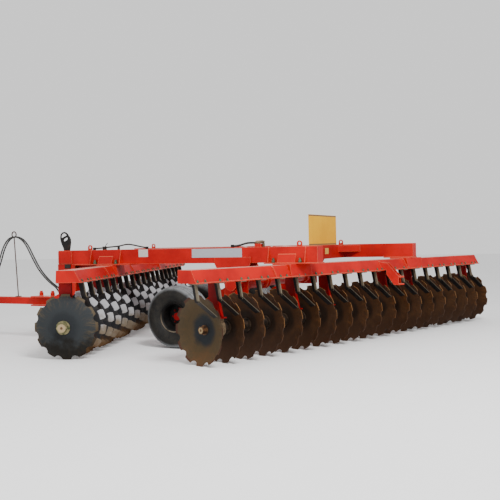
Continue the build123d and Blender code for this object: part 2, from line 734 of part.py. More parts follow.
# Wheels in pairs, one pair on each wheel arm
for name, middle in zip(("near", "far"), wheel_arm_y):
    with BuildPart() as wheel_axle:
        with BuildSketch(Plane.XZ.offset(-middle)):
            with Locations((WHEEL_X, axle_z)):
                Circle(AXLE_R)
        extrude(amount=TYRE_FROM_ARM + AXLE_OUT, both=True)
    save(wheel_axle, f"{name}_wheel_axle")

    with BuildPart() as rims:
        for side in (-1, 1):
            centre = middle + side * TYRE_FROM_ARM
            with BuildSketch(Plane((WHEEL_X, centre, axle_z), x_dir=(0, -side, 0), z_dir=(1, 0, 0))):
                with BuildLine():
                    half = TYRE_WIDTH / 2
                    Polyline(
                        (half - RIM_INSET, RIM_R),
                        (half - RIM_INSET, RIM_R - RIM_T),
                        (half - RIM_INSET - 2 * RIM_T, TYRE_BEAD_R - RIM_T),
                        (DISH_IN + RIM_T, TYRE_BEAD_R - 2 * RIM_T),
                        (DISH_IN + RIM_T, AXLE_R),
                        (DISH_IN, AXLE_R),
                        (DISH_IN, TYRE_BEAD_R - 2 * RIM_T),
                        (0, TYRE_BEAD_R - 2 * RIM_T),
                        (-half + RIM_INSET + 2 * RIM_T, TYRE_BEAD_R - RIM_T),
                        (-half + RIM_INSET, RIM_R - RIM_T),
                        (-half + RIM_INSET, RIM_R),
                        (-half + RIM_INSET + RIM_T, RIM_R),
                        (-half + RIM_INSET + 2 * RIM_T, TYRE_BEAD_R),
                        (half - RIM_INSET - 2 * RIM_T, TYRE_BEAD_R),
                        (half - RIM_INSET - RIM_T, RIM_R),
                        close=True,
                    )
                make_face()
            revolve(axis=Axis((WHEEL_X, 0, axle_z), (0, 1, 0)))
            with BuildSketch(Plane.XZ.offset(-centre - side * (HUB_OUT - HUB_LENGTH / 2) + HUB_LENGTH / 2)):
                with Locations((WHEEL_X, axle_z)):
                    Circle(HUB_R)
                    Circle(AXLE_R, mode=Mode.SUBTRACT)
            extrude(amount=-HUB_LENGTH)
    save(rims, f"{name}_wheel_rims")

    with BuildPart() as tyres:
        for side in (-1, 1):
            centre = middle + side * TYRE_FROM_ARM
            with BuildSketch(Plane((WHEEL_X, centre, axle_z), x_dir=(0, 1, 0), z_dir=(-1, 0, 0))):
                with BuildLine():
                    half = TYRE_WIDTH / 2
                    bead = half - RIM_INSET - 2 * RIM_T
                    lower = Line((-bead, TYRE_BEAD_R), (bead, TYRE_BEAD_R))
                    bead_out = Line(lower @ 1, (half - RIM_INSET - RIM_T, RIM_R))
                    wall = ThreePointArc(bead_out @ 1, (half, TYRE_WALL_R), (half - SHOULDER, TYRE_R - CROWN))
                    tread = ThreePointArc(wall @ 1, (0, TYRE_R), (-half + SHOULDER, TYRE_R - CROWN))
                    other = ThreePointArc(tread @ 1, (-half, TYRE_WALL_R), (-half + RIM_INSET + RIM_T, RIM_R))
                    Line(other @ 1, lower @ 0)
                make_face()
            revolve(axis=Axis((WHEEL_X, 0, axle_z), (0, 1, 0)))
    save(tyres, f"{name}_tyres")

# Lift cylinders: barrels pinned to lugs on the rear cross beam, rods to the cranks
anchor_z = GROUND + ANCHOR_HEIGHT
cylinder_run = hypot(ANCHOR_X - CRANK_X, crank_z - anchor_z)
along_cylinder = ((CRANK_X - ANCHOR_X) / cylinder_run, 0, (crank_z - anchor_z) / cylinder_run)
with BuildPart() as anchor_lugs:
    for y in CYLINDER_Y:
        for side in (-1, 1):
            start = y + side * (EYE_WIDTH / 2 + CRANK_GAP)
            with BuildSketch(Plane.XZ.offset(-start)):
                with BuildLine():
                    Polyline(
                        (REAR_CROSS_X[0], anchor_z - LUG_HALF),
                        (REAR_CROSS_X[0], anchor_z + LUG_HALF),
                        (ANCHOR_X, anchor_z + EYE_R),
                        (ANCHOR_X, anchor_z - EYE_R),
                        close=True,
                    )
                make_face()
                with Locations((ANCHOR_X, anchor_z)):
                    Circle(EYE_R)
            extrude(amount=-side * CRANK_T)
        with BuildSketch(Plane.XZ.offset(-y)):
            with Locations((ANCHOR_X, anchor_z)):
                Circle(PIN_R)
        extrude(amount=EYE_WIDTH / 2 + CRANK_GAP + CRANK_T, both=True)
save(anchor_lugs, "cylinder_lugs")

for name, y in zip(("near", "far"), CYLINDER_Y):
    barrel_plane = Plane((ANCHOR_X, y, anchor_z), x_dir=(0, 1, 0), z_dir=along_cylinder)
    with BuildPart() as barrel:
        with BuildSketch(Plane.XZ.offset(-y)):
            with Locations((ANCHOR_X, anchor_z)):
                Circle(EYE_R)
        extrude(amount=EYE_WIDTH / 2, both=True)
        with BuildSketch(barrel_plane.offset(BARREL_START - EYE_R)):
            Circle(EYE_WIDTH / 2)
        extrude(amount=EYE_R)
        with BuildSketch(barrel_plane.offset(BARREL_START)):
            Circle(BARREL_R)
        extrude(amount=BARREL_LENGTH)
        with BuildSketch(Plane.XZ.offset(-y)):
            with Locations((ANCHOR_X, anchor_z)):
                Circle(PIN_R + RUN_CLEARANCE)
        extrude(amount=EYE_WIDTH, both=True, mode=Mode.SUBTRACT)
        with BuildSketch(barrel_plane.offset(BARREL_START + BARREL_LENGTH)):
            Circle(ROD_R + RUN_CLEARANCE)
        extrude(amount=-(BARREL_LENGTH - BARREL_BASE), mode=Mode.SUBTRACT)
    save(barrel, f"{name}_cylinder_barrel")

    with BuildPart() as rod:
        with BuildSketch(Plane.XZ.offset(-y)):
            with Locations((CRANK_X, crank_z)):
                Circle(EYE_R)
        extrude(amount=EYE_WIDTH / 2, both=True)
        with BuildSketch(barrel_plane.offset(ROD_START)):
            Circle(ROD_R)
        extrude(amount=cylinder_run - ROD_START - PIN_R)
        with BuildSketch(Plane.XZ.offset(-y)):
            with Locations((CRANK_X, crank_z)):
                Circle(PIN_R + ROD_EYE_PLAY)
        extrude(amount=EYE_WIDTH, both=True, mode=Mode.SUBTRACT)
    save(rod, f"{name}_cylinder_rod")

# Hanger under the near beam with the hinge pin of the yoke
hinge_z = GROUND + HINGE_HEIGHT
with BuildPart() as hanger:
    for side in (-1, 1):
        with BuildSketch(Plane.XZ.offset(side * HANGER_SPREAD / 2)):
            with BuildLine():
                Polyline(
                    (HANGER_X[0], seat_top),
                    (HANGER_X[1], seat_top),
                    (HANGER_X[1], hinge_z + HANGER_FOOT_UP),
                    (HINGE_X + HANGER_LOW_HALF, hinge_z - HANGER_LOW_HALF),
                    (HINGE_X - HANGER_LOW_HALF, hinge_z - HANGER_LOW_HALF),
                    (HINGE_X - HANGER_LOW_HALF, hinge_z + HANGER_LOW_HALF),
                    (HANGER_X[0], hinge_z + HANGER_FOOT_UP),
                    close=True,
                )
            make_face()
        extrude(amount=-side * HANGER_PLATE_T)
    with BuildSketch(Plane.YZ.offset(HANGER_WEB_X)):
        with Locations((0, seat_top - HANGER_WEB_HEIGHT / 2)):
            Rectangle(HANGER_SPREAD, HANGER_WEB_HEIGHT)
    extrude(amount=HANGER_PLATE_T)
    with BuildSketch(Plane.XZ):
        with Locations((HINGE_X, hinge_z)):
            Circle(HINGE_R)
    extrude(amount=HANGER_SPREAD / 2, both=True)
save(hanger, "hitch_hanger")

# Bar through the slot at the front end of the near beam
with BuildPart() as level_bar:
    with BuildSketch(Plane.XZ):
        with BuildLine():
            Polyline(
                (LEVEL_BAR_X[0], seat_top - LEVEL_BAR_DROP),
                (LEVEL_BAR_X[1], seat_top - LEVEL_BAR_DROP),
                (LEVEL_BAR_X[1], GROUND + MAIN_TOP_HEIGHT),
                (LEVEL_BAR_X[1] + LEVEL_HEAD[1], GROUND + LEVEL_EYE_HEIGHT - LEVEL_EYE_R),
                (LEVEL_BAR_X[0] + LEVEL_HEAD[0], GROUND + LEVEL_EYE_HEIGHT),
                (LEVEL_BAR_X[0], GROUND + MAIN_TOP_HEIGHT),
                close=True,
            )
        make_face()
        with Locations((LEVEL_EYE_X, GROUND + LEVEL_EYE_HEIGHT)):
            Circle(LEVEL_EYE_R)
            Circle(LEVEL_BORE_R, mode=Mode.SUBTRACT)
        small_x, small_up = LEVEL_SMALL_PLACE
        with Locations((LEVEL_EYE_X + small_x, GROUND + LEVEL_EYE_HEIGHT + small_up)):
            Circle(LEVEL_SMALL_R, mode=Mode.SUBTRACT)
    extrude(amount=LEVEL_BAR_T / 2, both=True)
save(level_bar, "level_bar")

# Yoke: two plates that hold the drawbar, and the hinge boss behind them
bar_half = DRAWBAR_HEIGHT / 2
with BuildPart() as yoke:
    for z in (hinge_z + bar_half, hinge_z - bar_half - YOKE_T):
        with BuildSketch(Plane.XY.offset(z)):
            with Locations(((YOKE_X[0] + YOKE_X[1]) / 2, 0)):
                Rectangle(YOKE_X[1] - YOKE_X[0], YOKE_WIDTH)
        extrude(amount=YOKE_T)
    boss_width = HANGER_SPREAD - 2 * HANGER_PLATE_T - 2 * SIDE_CLEARANCE
    with BuildSketch(Plane.XY.offset(hinge_z - bar_half - YOKE_T)):
        with Locations(((DRAWBAR_REAR_X + HINGE_X) / 2, 0)):
            Rectangle(HINGE_X - DRAWBAR_REAR_X, boss_width)
    extrude(amount=DRAWBAR_HEIGHT + 2 * YOKE_T)
    with BuildSketch(Plane.XZ):
        with Locations((HINGE_X, hinge_z)):
            Circle(bar_half + YOKE_T)
    extrude(amount=boss_width / 2, both=True)
    with BuildSketch(Plane.XZ):
        with Locations((HINGE_X, hinge_z)):
            Circle(HINGE_R + RUN_CLEARANCE)
    extrude(amount=boss_width, both=True, mode=Mode.SUBTRACT)
    for x in HITCH_PIN_X:
        with BuildSketch(Plane.XY.offset(hinge_z + bar_half + YOKE_T)):
            with Locations((x, 0)):
                Circle(HITCH_PIN_R)
        extrude(amount=HITCH_PIN_UP)
    with BuildSketch(Plane.XY.offset(hinge_z + BULKHEAD_Z[0])):
        with Locations(((BULKHEAD_X[0] + BULKHEAD_X[1]) / 2, 0)):
            Rectangle(BULKHEAD_X[1] - BULKHEAD_X[0], 2 * BULKHEAD_HALF)
    extrude(amount=BULKHEAD_Z[1] - BULKHEAD_Z[0])
save(yoke, "drawbar_yoke")

with BuildPart() as drawbar:
    with BuildSketch(Plane.XY.offset(hinge_z - bar_half)):
        with Locations(((EYE_NECK_X + DRAWBAR_REAR_X) / 2, 0)):
            Rectangle(DRAWBAR_REAR_X - EYE_NECK_X, DRAWBAR_WIDTH)
    extrude(amount=DRAWBAR_HEIGHT)
    with BuildSketch(Plane.XY.offset(-EYE_THICKNESS / 2)):
        Circle(EYE_OUTER_R)
        with Locations((EYE_NECK_X / 2, 0)):
            Rectangle(EYE_NECK_X, 2 * EYE_OUTER_R)
    extrude(amount=EYE_THICKNESS)
    Hole(EYE_BORE_R)
save(drawbar, "drawbar")

# Leaning rod with a ring and a cross pin that carry the hoses over the drawbar
drawbar_top = hinge_z + bar_half
rod_start = Vector(ROD_FOOT_X, 0, drawbar_top + ROD_FOOT_T / 2)
rod_end = Vector(RING_X, 0, hinge_z + RING_UP - RING_R)
with BuildPart() as hose_rod:
    with BuildSketch(Plane.XY.offset(drawbar_top)):
        with Locations((ROD_FOOT_X, 0)):
            Rectangle(ROD_FOOT_SIDE, ROD_FOOT_SIDE)
    extrude(amount=ROD_FOOT_T)
    with BuildSketch(Plane(rod_start, x_dir=(0, 1, 0), z_dir=rod_end - rod_start)):
        Circle(ROD_RADIUS)
    extrude(amount=(rod_end - rod_start).length)
    with BuildSketch(Plane.XY.offset(hinge_z + RING_UP)):
        with Locations((RING_X + RING_R, 0)):
            Circle(RING_WIRE_R)
    revolve(axis=Axis((RING_X, 0, hinge_z + RING_UP), (0, 1, 0)))
    with BuildSketch(Plane.XZ):
        with Locations((RING_X, hinge_z + RING_UP - RING_R)):
            Circle(ROD_RADIUS)
    extrude(amount=HOSE_PIN_HALF, both=True)
save(hose_rod, "hose_rod")

# Block on the drawbar that holds the two couplers
with BuildPart() as coupler_rest:
    with BuildSketch(Plane.XY.offset(drawbar_top)):
        with Locations(((COUPLER_BLOCK_X[0] + COUPLER_BLOCK_X[1]) / 2, 0)):
            Rectangle(COUPLER_BLOCK_X[1] - COUPLER_BLOCK_X[0], 2 * BULKHEAD_HALF)
    extrude(amount=COUPLER_BLOCK_UP)
    with BuildSketch(Plane.YZ.offset(COUPLER_BLOCK_X[0])):
        for side in (-1, 1):
            with Locations((side * HOSE_Y, hinge_z + HOSE_ROUTE[-1][1])):
                Circle(COUPLER_R)
    extrude(amount=-COUPLER_LENGTH)
save(coupler_rest, "coupler_rest")

# Clips with a shut-off valve and the valve block on top of the near beam
beam_top = GROUND + MAIN_TOP_HEIGHT
with BuildPart() as clips:
    for start, end, rise in (*CLIPS, (*SHUT_OFF_X, SHUT_OFF_UP)):
        with BuildSketch(Plane.XY.offset(beam_top)):
            with Locations(((start + end) / 2, 0)):
                Rectangle(end - start, 2 * CLIP_HALF)
        extrude(amount=rise)
    lever_foot, lever_end = [Vector(x, 0, beam_top + z) for x, z in LEVER]
    with BuildSketch(Plane(lever_foot, x_dir=(0, 1, 0), z_dir=lever_end - lever_foot)):
        Circle(LEVER_R)
    extrude(amount=(lever_end - lever_foot).length)
save(clips, "hose_clips")

with BuildPart() as valve_block:
    for inset, low, high in ((0, 0, VALVE_BASE_UP), (VALVE_IN, VALVE_BASE_UP, VALVE_UP)):
        with BuildSketch(Plane.XY.offset(beam_top + low)):
            with Locations(((VALVE_X[0] + VALVE_X[1] + inset) / 2, 0)):
                Rectangle(VALVE_X[1] - VALVE_X[0] - inset, 2 * (VALVE_HALF - inset))
        extrude(amount=high - low)
save(valve_block, "valve_block")

# Hoses, each one straight runs joined by tangent arcs
HOSES = (
    ("near_hose", -HOSE_Y, hinge_z, HOSE_R, HOSE_ROUTE),
    ("far_hose", HOSE_Y, hinge_z, HOSE_R, HOSE_ROUTE),
    ("beam_hose", 0, beam_top, TOP_HOSE_R, TOP_HOSE_ROUTE),
    ("valve_hose", 0, beam_top, VALVE_HOSE_R, VALVE_HOSE_ROUTE),
)
for name, y, base, radius, side_points in HOSES:
    points = [Vector(x, y, base + z) for x, z in side_points]
    runs = [after - before for before, after in zip(points, points[1:])]
    radii = []
    for before, after in zip(runs, runs[1:]):
        half_turn = radians(before.get_angle(after)) / 2
        radii.append(BEND_SHARE * min(before.length, after.length) / tan(half_turn))
    with BuildPart() as hose:
        with BuildLine():
            route = FilletPolyline(*points, radius=radii)
        with BuildSketch(Plane(route @ 0, z_dir=route % 0)):
            Circle(radius)
        sweep()
    section = pi * radius**2
    print(name, "radii", [round(r) for r in radii], "length", round(route.length))
    print("volume share", round(hose.part.volume / (section * route.length), 4))
    save(hose, name)

# Sign standing across the machine on the rear cross beam
with BuildPart() as sign:
    with BuildSketch(Plane.YZ.offset(SIGN_X)):
        with Locations(((SIGN_Y[0] + SIGN_Y[1]) / 2, GROUND + MAIN_TOP_HEIGHT + SIGN_HEIGHT / 2)):
            Rectangle(SIGN_Y[1] - SIGN_Y[0], SIGN_HEIGHT)
    extrude(amount=SIGN_T)
save(sign, "sign_board")

with BuildPart() as sign_posts:
    for y in (SIGN_Y[0] + SIGN_POST_IN, SIGN_Y[1] - SIGN_POST_IN):
        with BuildSketch(Plane.XY.offset(GROUND + MAIN_TOP_HEIGHT)):
            with Locations((SIGN_X - SIGN_POST / 2, y)):
                Rectangle(SIGN_POST, SIGN_POST)
        extrude(amount=SIGN_HEIGHT - SIGN_POST)
save(sign_posts, "sign_posts")

# Lifting eyes on the main beams
with BuildPart() as lifting_eyes:
    for x, y in LIFT_EYES:
        with BuildSketch(Plane.XZ.offset(-y)):
            with Locations((x, GROUND + MAIN_TOP_HEIGHT + LIFT_EYE_UP)):
                Circle(LIFT_EYE_R)
            with Locations((x, GROUND + MAIN_TOP_HEIGHT + LIFT_EYE_UP / 2)):
                Rectangle(2 * LIFT_EYE_R, LIFT_EYE_UP)
            with Locations((x, GROUND + MAIN_TOP_HEIGHT + LIFT_EYE_UP)):
                Circle(LIFT_BORE_R, mode=Mode.SUBTRACT)
        extrude(amount=EYE_PLATE_T / 2, both=True)
save(lifting_eyes, "lifting_eyes")

# Rear tow bracket on the slanted face of the rear gang beam
rear_turn = radians(REAR.turn)
tow_shaft_x = REAR.x + (TOW_Y - REAR.y) * sin(rear_turn) / cos(rear_turn)
tow_x = tow_shaft_x + TOW_REACH
with BuildPart() as tow_bracket:
    for side in (-1, 1):
        with BuildSketch(Plane.XZ.offset(-TOW_Y - side * TOW_HALF_WIDTH)):
            with BuildLine():
                Polyline(
                    (tow_shaft_x + TOW_TOP_IN, GROUND + BEAM_TOP_HEIGHT - TOW_TOP_DROP),
                    (tow_shaft_x + TOW_SHOULDER[0], GROUND + BEAM_TOP_HEIGHT - TOW_SHOULDER[1]),
                    (tow_x - TOW_PLATE_SHORT, GROUND + TOW_HEIGHT + TOW_JAW_GAP / 2 + TOW_JAW_T),
                    (tow_x - TOW_PLATE_SHORT, GROUND + TOW_HEIGHT - TOW_JAW_GAP / 2 - TOW_JAW_T),
                    (tow_x - TOW_NECK_IN, GROUND + TOW_HEIGHT - TOW_JAW_GAP / 2 - TOW_JAW_T),
                    (tow_shaft_x + TOW_UNDER[0], GROUND + BEAM_BOTTOM_HEIGHT - TOW_UNDER[1]),
                    (tow_shaft_x + TOW_UNDER[0], GROUND + BEAM_BOTTOM_HEIGHT),
                    (tow_shaft_x + TOW_TOP_IN, GROUND + BEAM_BOTTOM_HEIGHT),
                    close=True,
                )
            make_face()
        extrude(amount=side * TOW_PLATE_T)
    add(rear_beam, mode=Mode.SUBTRACT)
    for z in (TOW_HEIGHT + TOW_JAW_GAP / 2, TOW_HEIGHT - TOW_JAW_GAP / 2 - TOW_JAW_T):
        with BuildSketch(Plane.XY.offset(GROUND + z)):
            with Locations((tow_x, TOW_Y)):
                Circle(TOW_JAW_R)
            with Locations((tow_x - TOW_JAW_R, TOW_Y)):
                Rectangle(2 * TOW_JAW_R, 2 * TOW_HALF_WIDTH)
            with Locations((tow_x, TOW_Y)):
                Circle(TOW_BORE_R, mode=Mode.SUBTRACT)
        extrude(amount=TOW_JAW_T)
save(tow_bracket, "tow_bracket")
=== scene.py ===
from collections import namedtuple
from math import atan2, cos, hypot, pi, radians, sin

import bmesh
import bpy
from mathutils import Matrix, Vector


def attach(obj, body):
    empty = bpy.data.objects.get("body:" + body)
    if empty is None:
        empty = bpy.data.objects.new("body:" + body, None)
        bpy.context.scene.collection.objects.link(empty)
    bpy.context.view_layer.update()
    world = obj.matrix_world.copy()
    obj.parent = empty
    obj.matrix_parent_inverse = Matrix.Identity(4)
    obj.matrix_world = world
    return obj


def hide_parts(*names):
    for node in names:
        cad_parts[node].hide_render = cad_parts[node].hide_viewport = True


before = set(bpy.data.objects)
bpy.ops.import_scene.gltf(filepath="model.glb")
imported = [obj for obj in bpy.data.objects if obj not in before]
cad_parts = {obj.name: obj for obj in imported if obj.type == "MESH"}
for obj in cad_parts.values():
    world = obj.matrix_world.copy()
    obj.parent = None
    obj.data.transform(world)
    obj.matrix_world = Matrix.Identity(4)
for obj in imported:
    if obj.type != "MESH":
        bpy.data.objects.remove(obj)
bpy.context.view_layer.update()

# Camera where the photograph was taken, in metres in the part's frame
CAMERA_PLACE = Vector((10.924, -9.284, 0.869))
CAMERA_YAW = radians(-26.761)
CAMERA_PITCH = radians(-0.594)
CAMERA_ROLL = radians(-1.248)
CAMERA_LENS = 53.95
SENSOR_WIDTH = 36

forward = Vector((
    sin(CAMERA_YAW) * cos(CAMERA_PITCH),
    cos(CAMERA_YAW) * cos(CAMERA_PITCH),
    sin(CAMERA_PITCH),
))
level_right = Vector((cos(CAMERA_YAW), -sin(CAMERA_YAW), 0))
level_up = level_right.cross(forward)
camera_right = level_right * cos(CAMERA_ROLL) + level_up * sin(CAMERA_ROLL)
camera_up = level_up * cos(CAMERA_ROLL) - level_right * sin(CAMERA_ROLL)
camera_data = bpy.data.cameras.new("camera")
camera_data.lens = CAMERA_LENS
camera_data.sensor_width = SENSOR_WIDTH
camera = bpy.data.objects.new("camera", camera_data)
bpy.context.scene.collection.objects.link(camera)
camera.matrix_world = Matrix.Translation(CAMERA_PLACE) @ Matrix((
    (camera_right.x, camera_up.x, -forward.x, 0),
    (camera_right.y, camera_up.y, -forward.y, 0),
    (camera_right.z, camera_up.z, -forward.z, 0),
    (0, 0, 0, 1),
))
bpy.context.scene.camera = camera

# Sizes shared with the solids, in metres
GROUND = -0.620
SHAFT_HEIGHT = 0.432
SPACING = 0.356
DISC_DEPTH = 0.105
DISC_T = 0.010
DISC_COUNT = 19
NOTCHES = 12
NOTCH_TURN = 11
FLANGE_TOP = 1.030
FLANGE_EDGE = 0.286
MAIN_HALF = 0.100
MAIN_BOTTOM = GROUND + 1.205
MAIN_TOP = GROUND + 1.421
FAR_BEAM_Y = 2.610
WHEEL_X = 5.145
WHEEL_Z = GROUND + 0.446


class Gang:
    """Frame of a gang: place(along, rearward, height) gives a point."""

    def __init__(self, name, x, y, side, angle, arm_gap):
        self.name = name
        self.side = side
        self.arm_gap = arm_gap
        self.turn = side * radians(angle)
        self.origin = Vector((x, y, GROUND + SHAFT_HEIGHT))
        self.axis = Vector((sin(self.turn), cos(self.turn), 0))
        self.rearward = Vector((cos(self.turn), -sin(self.turn), 0))

    def place(self, along, rearward, height):
        point = self.origin + self.axis * along + self.rearward * rearward
        point.z = GROUND + height
        return point


FRONT = Gang("front", 4.331, -1.608, -1, 20.5, 0.103)
REAR = Gang("rear", 6.280, -1.504, 1, 18.2, 0.200)


# Shader helpers
EDGE_WIDTH = 0.009
TOP_START = 0.72
TOP_FULL = 0.98
SIDE_COAT = 0.06
TOP_COAT = 0.7
EDGE_WEAR_AND_HIGHLIGHT_SHARE = 0.5
GRIME = (0.10, 0.045, 0.025)


def add(tree, kind, inputs=None, **settings):
    node = tree.nodes.new("ShaderNode" + kind)
    for key, value in settings.items():
        setattr(node, key, value)
    for key, value in (inputs or {}).items():
        if isinstance(value, bpy.types.NodeSocket):
            tree.links.new(value, node.inputs[key])
        else:
            node.inputs[key].default_value = value
    return node


def math(tree, operation, a, b=0.5):
    return add(tree, "Math", {0: a, 1: b}, operation=operation).outputs[0]


def noise(tree, vector, scale, detail=5.0, rough=0.6):
    return add(
        tree, "TexNoise", {"Vector": vector, "Scale": scale, "Detail": detail, "Roughness": rough}
    ).outputs["Fac"]


def span(tree, value, low, high):
    """0 below low, 1 above high, smooth between."""
    inputs = {"Value": value, "From Min": low, "From Max": high}
    return add(tree, "MapRange", inputs, interpolation_type="SMOOTHSTEP").outputs["Result"]


def mix(tree, factor, a, b):
    node = tree.nodes.new("ShaderNodeMix")
    node.data_type = "RGBA"
    for key, value in ((0, factor), (6, a), (7, b)):
        if isinstance(value, bpy.types.NodeSocket):
            tree.links.new(value, node.inputs[key])
        elif key == 0:
            node.inputs[key].default_value = value
        else:
            node.inputs[key].default_value = (*value, 1)
    return node.outputs[2]


def start(name, roughness, metallic=0.0, mirror=0.5):
    """New material: (material, tree, object coordinates, shader)."""
    material = bpy.data.materials.new(name)
    material.use_nodes = True
    tree = material.node_tree
    shader = tree.nodes["Principled BSDF"]
    shader.inputs["Roughness"].default_value = roughness
    shader.inputs["Metallic"].default_value = metallic
    shader.inputs["Specular IOR Level"].default_value = mirror
    coords = add(tree, "TexCoord")
    return material, tree, coords.outputs["Object"], shader


def bump(tree, shader, height, strength, distance):
    node = add(tree, "Bump", {"Height": height, "Strength": strength, "Distance": distance})
    tree.links.new(node.outputs["Normal"], shader.inputs["Normal"])


def on_top(tree):
    """1 on faces that look up, 0 on sides."""
    normal = add(tree, "NewGeometry").outputs["Normal"]
    upward = add(tree, "SeparateXYZ", {0: normal}).outputs[2]
    return span(tree, upward, TOP_START, TOP_FULL)


def sharp_edges(tree, width):
    """0 on flat faces, 1 along sharp outer edges."""
    normal = add(tree, "NewGeometry").outputs["Normal"]
    rounded = add(tree, "Bevel", {"Radius": width}, samples=6).outputs["Normal"]
    facing = add(tree, "VectorMath", {0: normal, 1: rounded}, operation="DOT_PRODUCT").outputs[1]
    return span(tree, facing, 0.97, 0.82)


def painted(name, colour, shade, dust_and_highlight, gloss, dust_and_highlight_share, grime=0.25, edge_wear_and_highlight=None):
    """Sprayed machine paint: slow colour drift, grime, gloss on top; top faces dusted pale, a tone that is
    also a painted highlight; sharp edges lighter where the paint wears thin, which is also a painted edge
    highlight.
    """
    material, tree, coords, shader = start(name, gloss, 0.0, 0.14)
    drift = span(tree, noise(tree, coords, 2.2, 3), 0.35, 0.65)
    base = mix(tree, drift, colour, shade)
    spots = span(tree, noise(tree, coords, 9.0, 8, 0.7), 0.56, 0.72)
    base = mix(tree, math(tree, "MULTIPLY", spots, grime), base, GRIME)
    fine = span(tree, noise(tree, coords, 30.0, 6, 0.7), 0.1, 0.6)
    # Upward faces take a pale tone: settled dust, and also a painted highlight on top faces
    top_dust_and_highlight = math(tree, "MULTIPLY", on_top(tree), fine)
    base = mix(tree, math(tree, "MULTIPLY", top_dust_and_highlight, dust_and_highlight_share), base, dust_and_highlight)
    # Lighter tone along sharp edges: paint wearing thin, and also a painted edge highlight
    if edge_wear_and_highlight:
        away_from_spots = span(tree, spots, 0.9, 0.2)
        worn_and_highlit_edges = math(tree, "MULTIPLY", sharp_edges(tree, EDGE_WIDTH), away_from_spots)
        base = mix(tree, math(tree, "MULTIPLY", worn_and_highlit_edges, EDGE_WEAR_AND_HIGHLIGHT_SHARE), base, edge_wear_and_highlight)
    tree.links.new(base, shader.inputs["Base Color"])
    rough = add(tree, "MapRange", {"Value": fine, "To Min": gloss - 0.06, "To Max": gloss + 0.22})
    tree.links.new(rough.outputs["Result"], shader.inputs["Roughness"])
    coat = add(tree, "MapRange", {"Value": on_top(tree), "To Min": SIDE_COAT, "To Max": TOP_COAT})
    tree.links.new(coat.outputs["Result"], shader.inputs["Coat Weight"])
    shader.inputs["Coat Roughness"].default_value = 0.2
    bump(tree, shader, noise(tree, coords, 160.0, 3), 0.12, 0.001)
    return material


def steel(name, dark, light, roughness, metallic, scale=14.0, strength=0.3):
    """Metal, rubber or caked soil with blotches of two tones and a rough skin."""
    material, tree, coords, shader = start(name, roughness, metallic)
    blotch = span(tree, noise(tree, coords, scale, 8, 0.65), 0.35, 0.66)
    tree.links.new(mix(tree, blotch, dark, light), shader.inputs["Base Color"])
    bump(tree, shader, noise(tree, coords, scale * 9, 5), strength, 0.002)
    return material


def wavering(tree, value, pattern, amount):
    """The value, moved to and fro by the pattern."""
    centred = math(tree, "SUBTRACT", pattern, 0.5)
    return math(tree, "ADD", value, math(tree, "MULTIPLY", centred, amount))


def shaft_fields(tree, coords, gang):
    """Distances of a point along the gang's shaft, rearward of it, above it and from it."""
    from_shaft = add(tree, "VectorMath", {0: coords, 1: gang.origin}, operation="SUBTRACT").outputs[0]
    along = add(tree, "VectorMath", {0: from_shaft, 1: gang.axis}, operation="DOT_PRODUCT").outputs[1]
    across = add(tree, "VectorMath", {0: from_shaft, 1: gang.rearward}, operation="DOT_PRODUCT").outputs[1]
    height = add(tree, "SeparateXYZ", {0: from_shaft}).outputs[2]
    crossed = add(tree, "VectorMath", {0: from_shaft, 1: gang.axis}, operation="CROSS_PRODUCT").outputs[0]
    radius = add(tree, "VectorMath", {0: crossed}, operation="LENGTH").outputs[1]
    return along, across, height, radius


# Colours of a disc, the radius where tips start, the height below which the disc turns to its low tone, and
# the share of the pitch beside a notch that stays dark
DiscTones = namedtuple("DiscTones", "centre middle streak tip low_tip mud tip_start soil_top tab_gap")
TIP_FADE = 0.014
LOW_FADE = 0.26


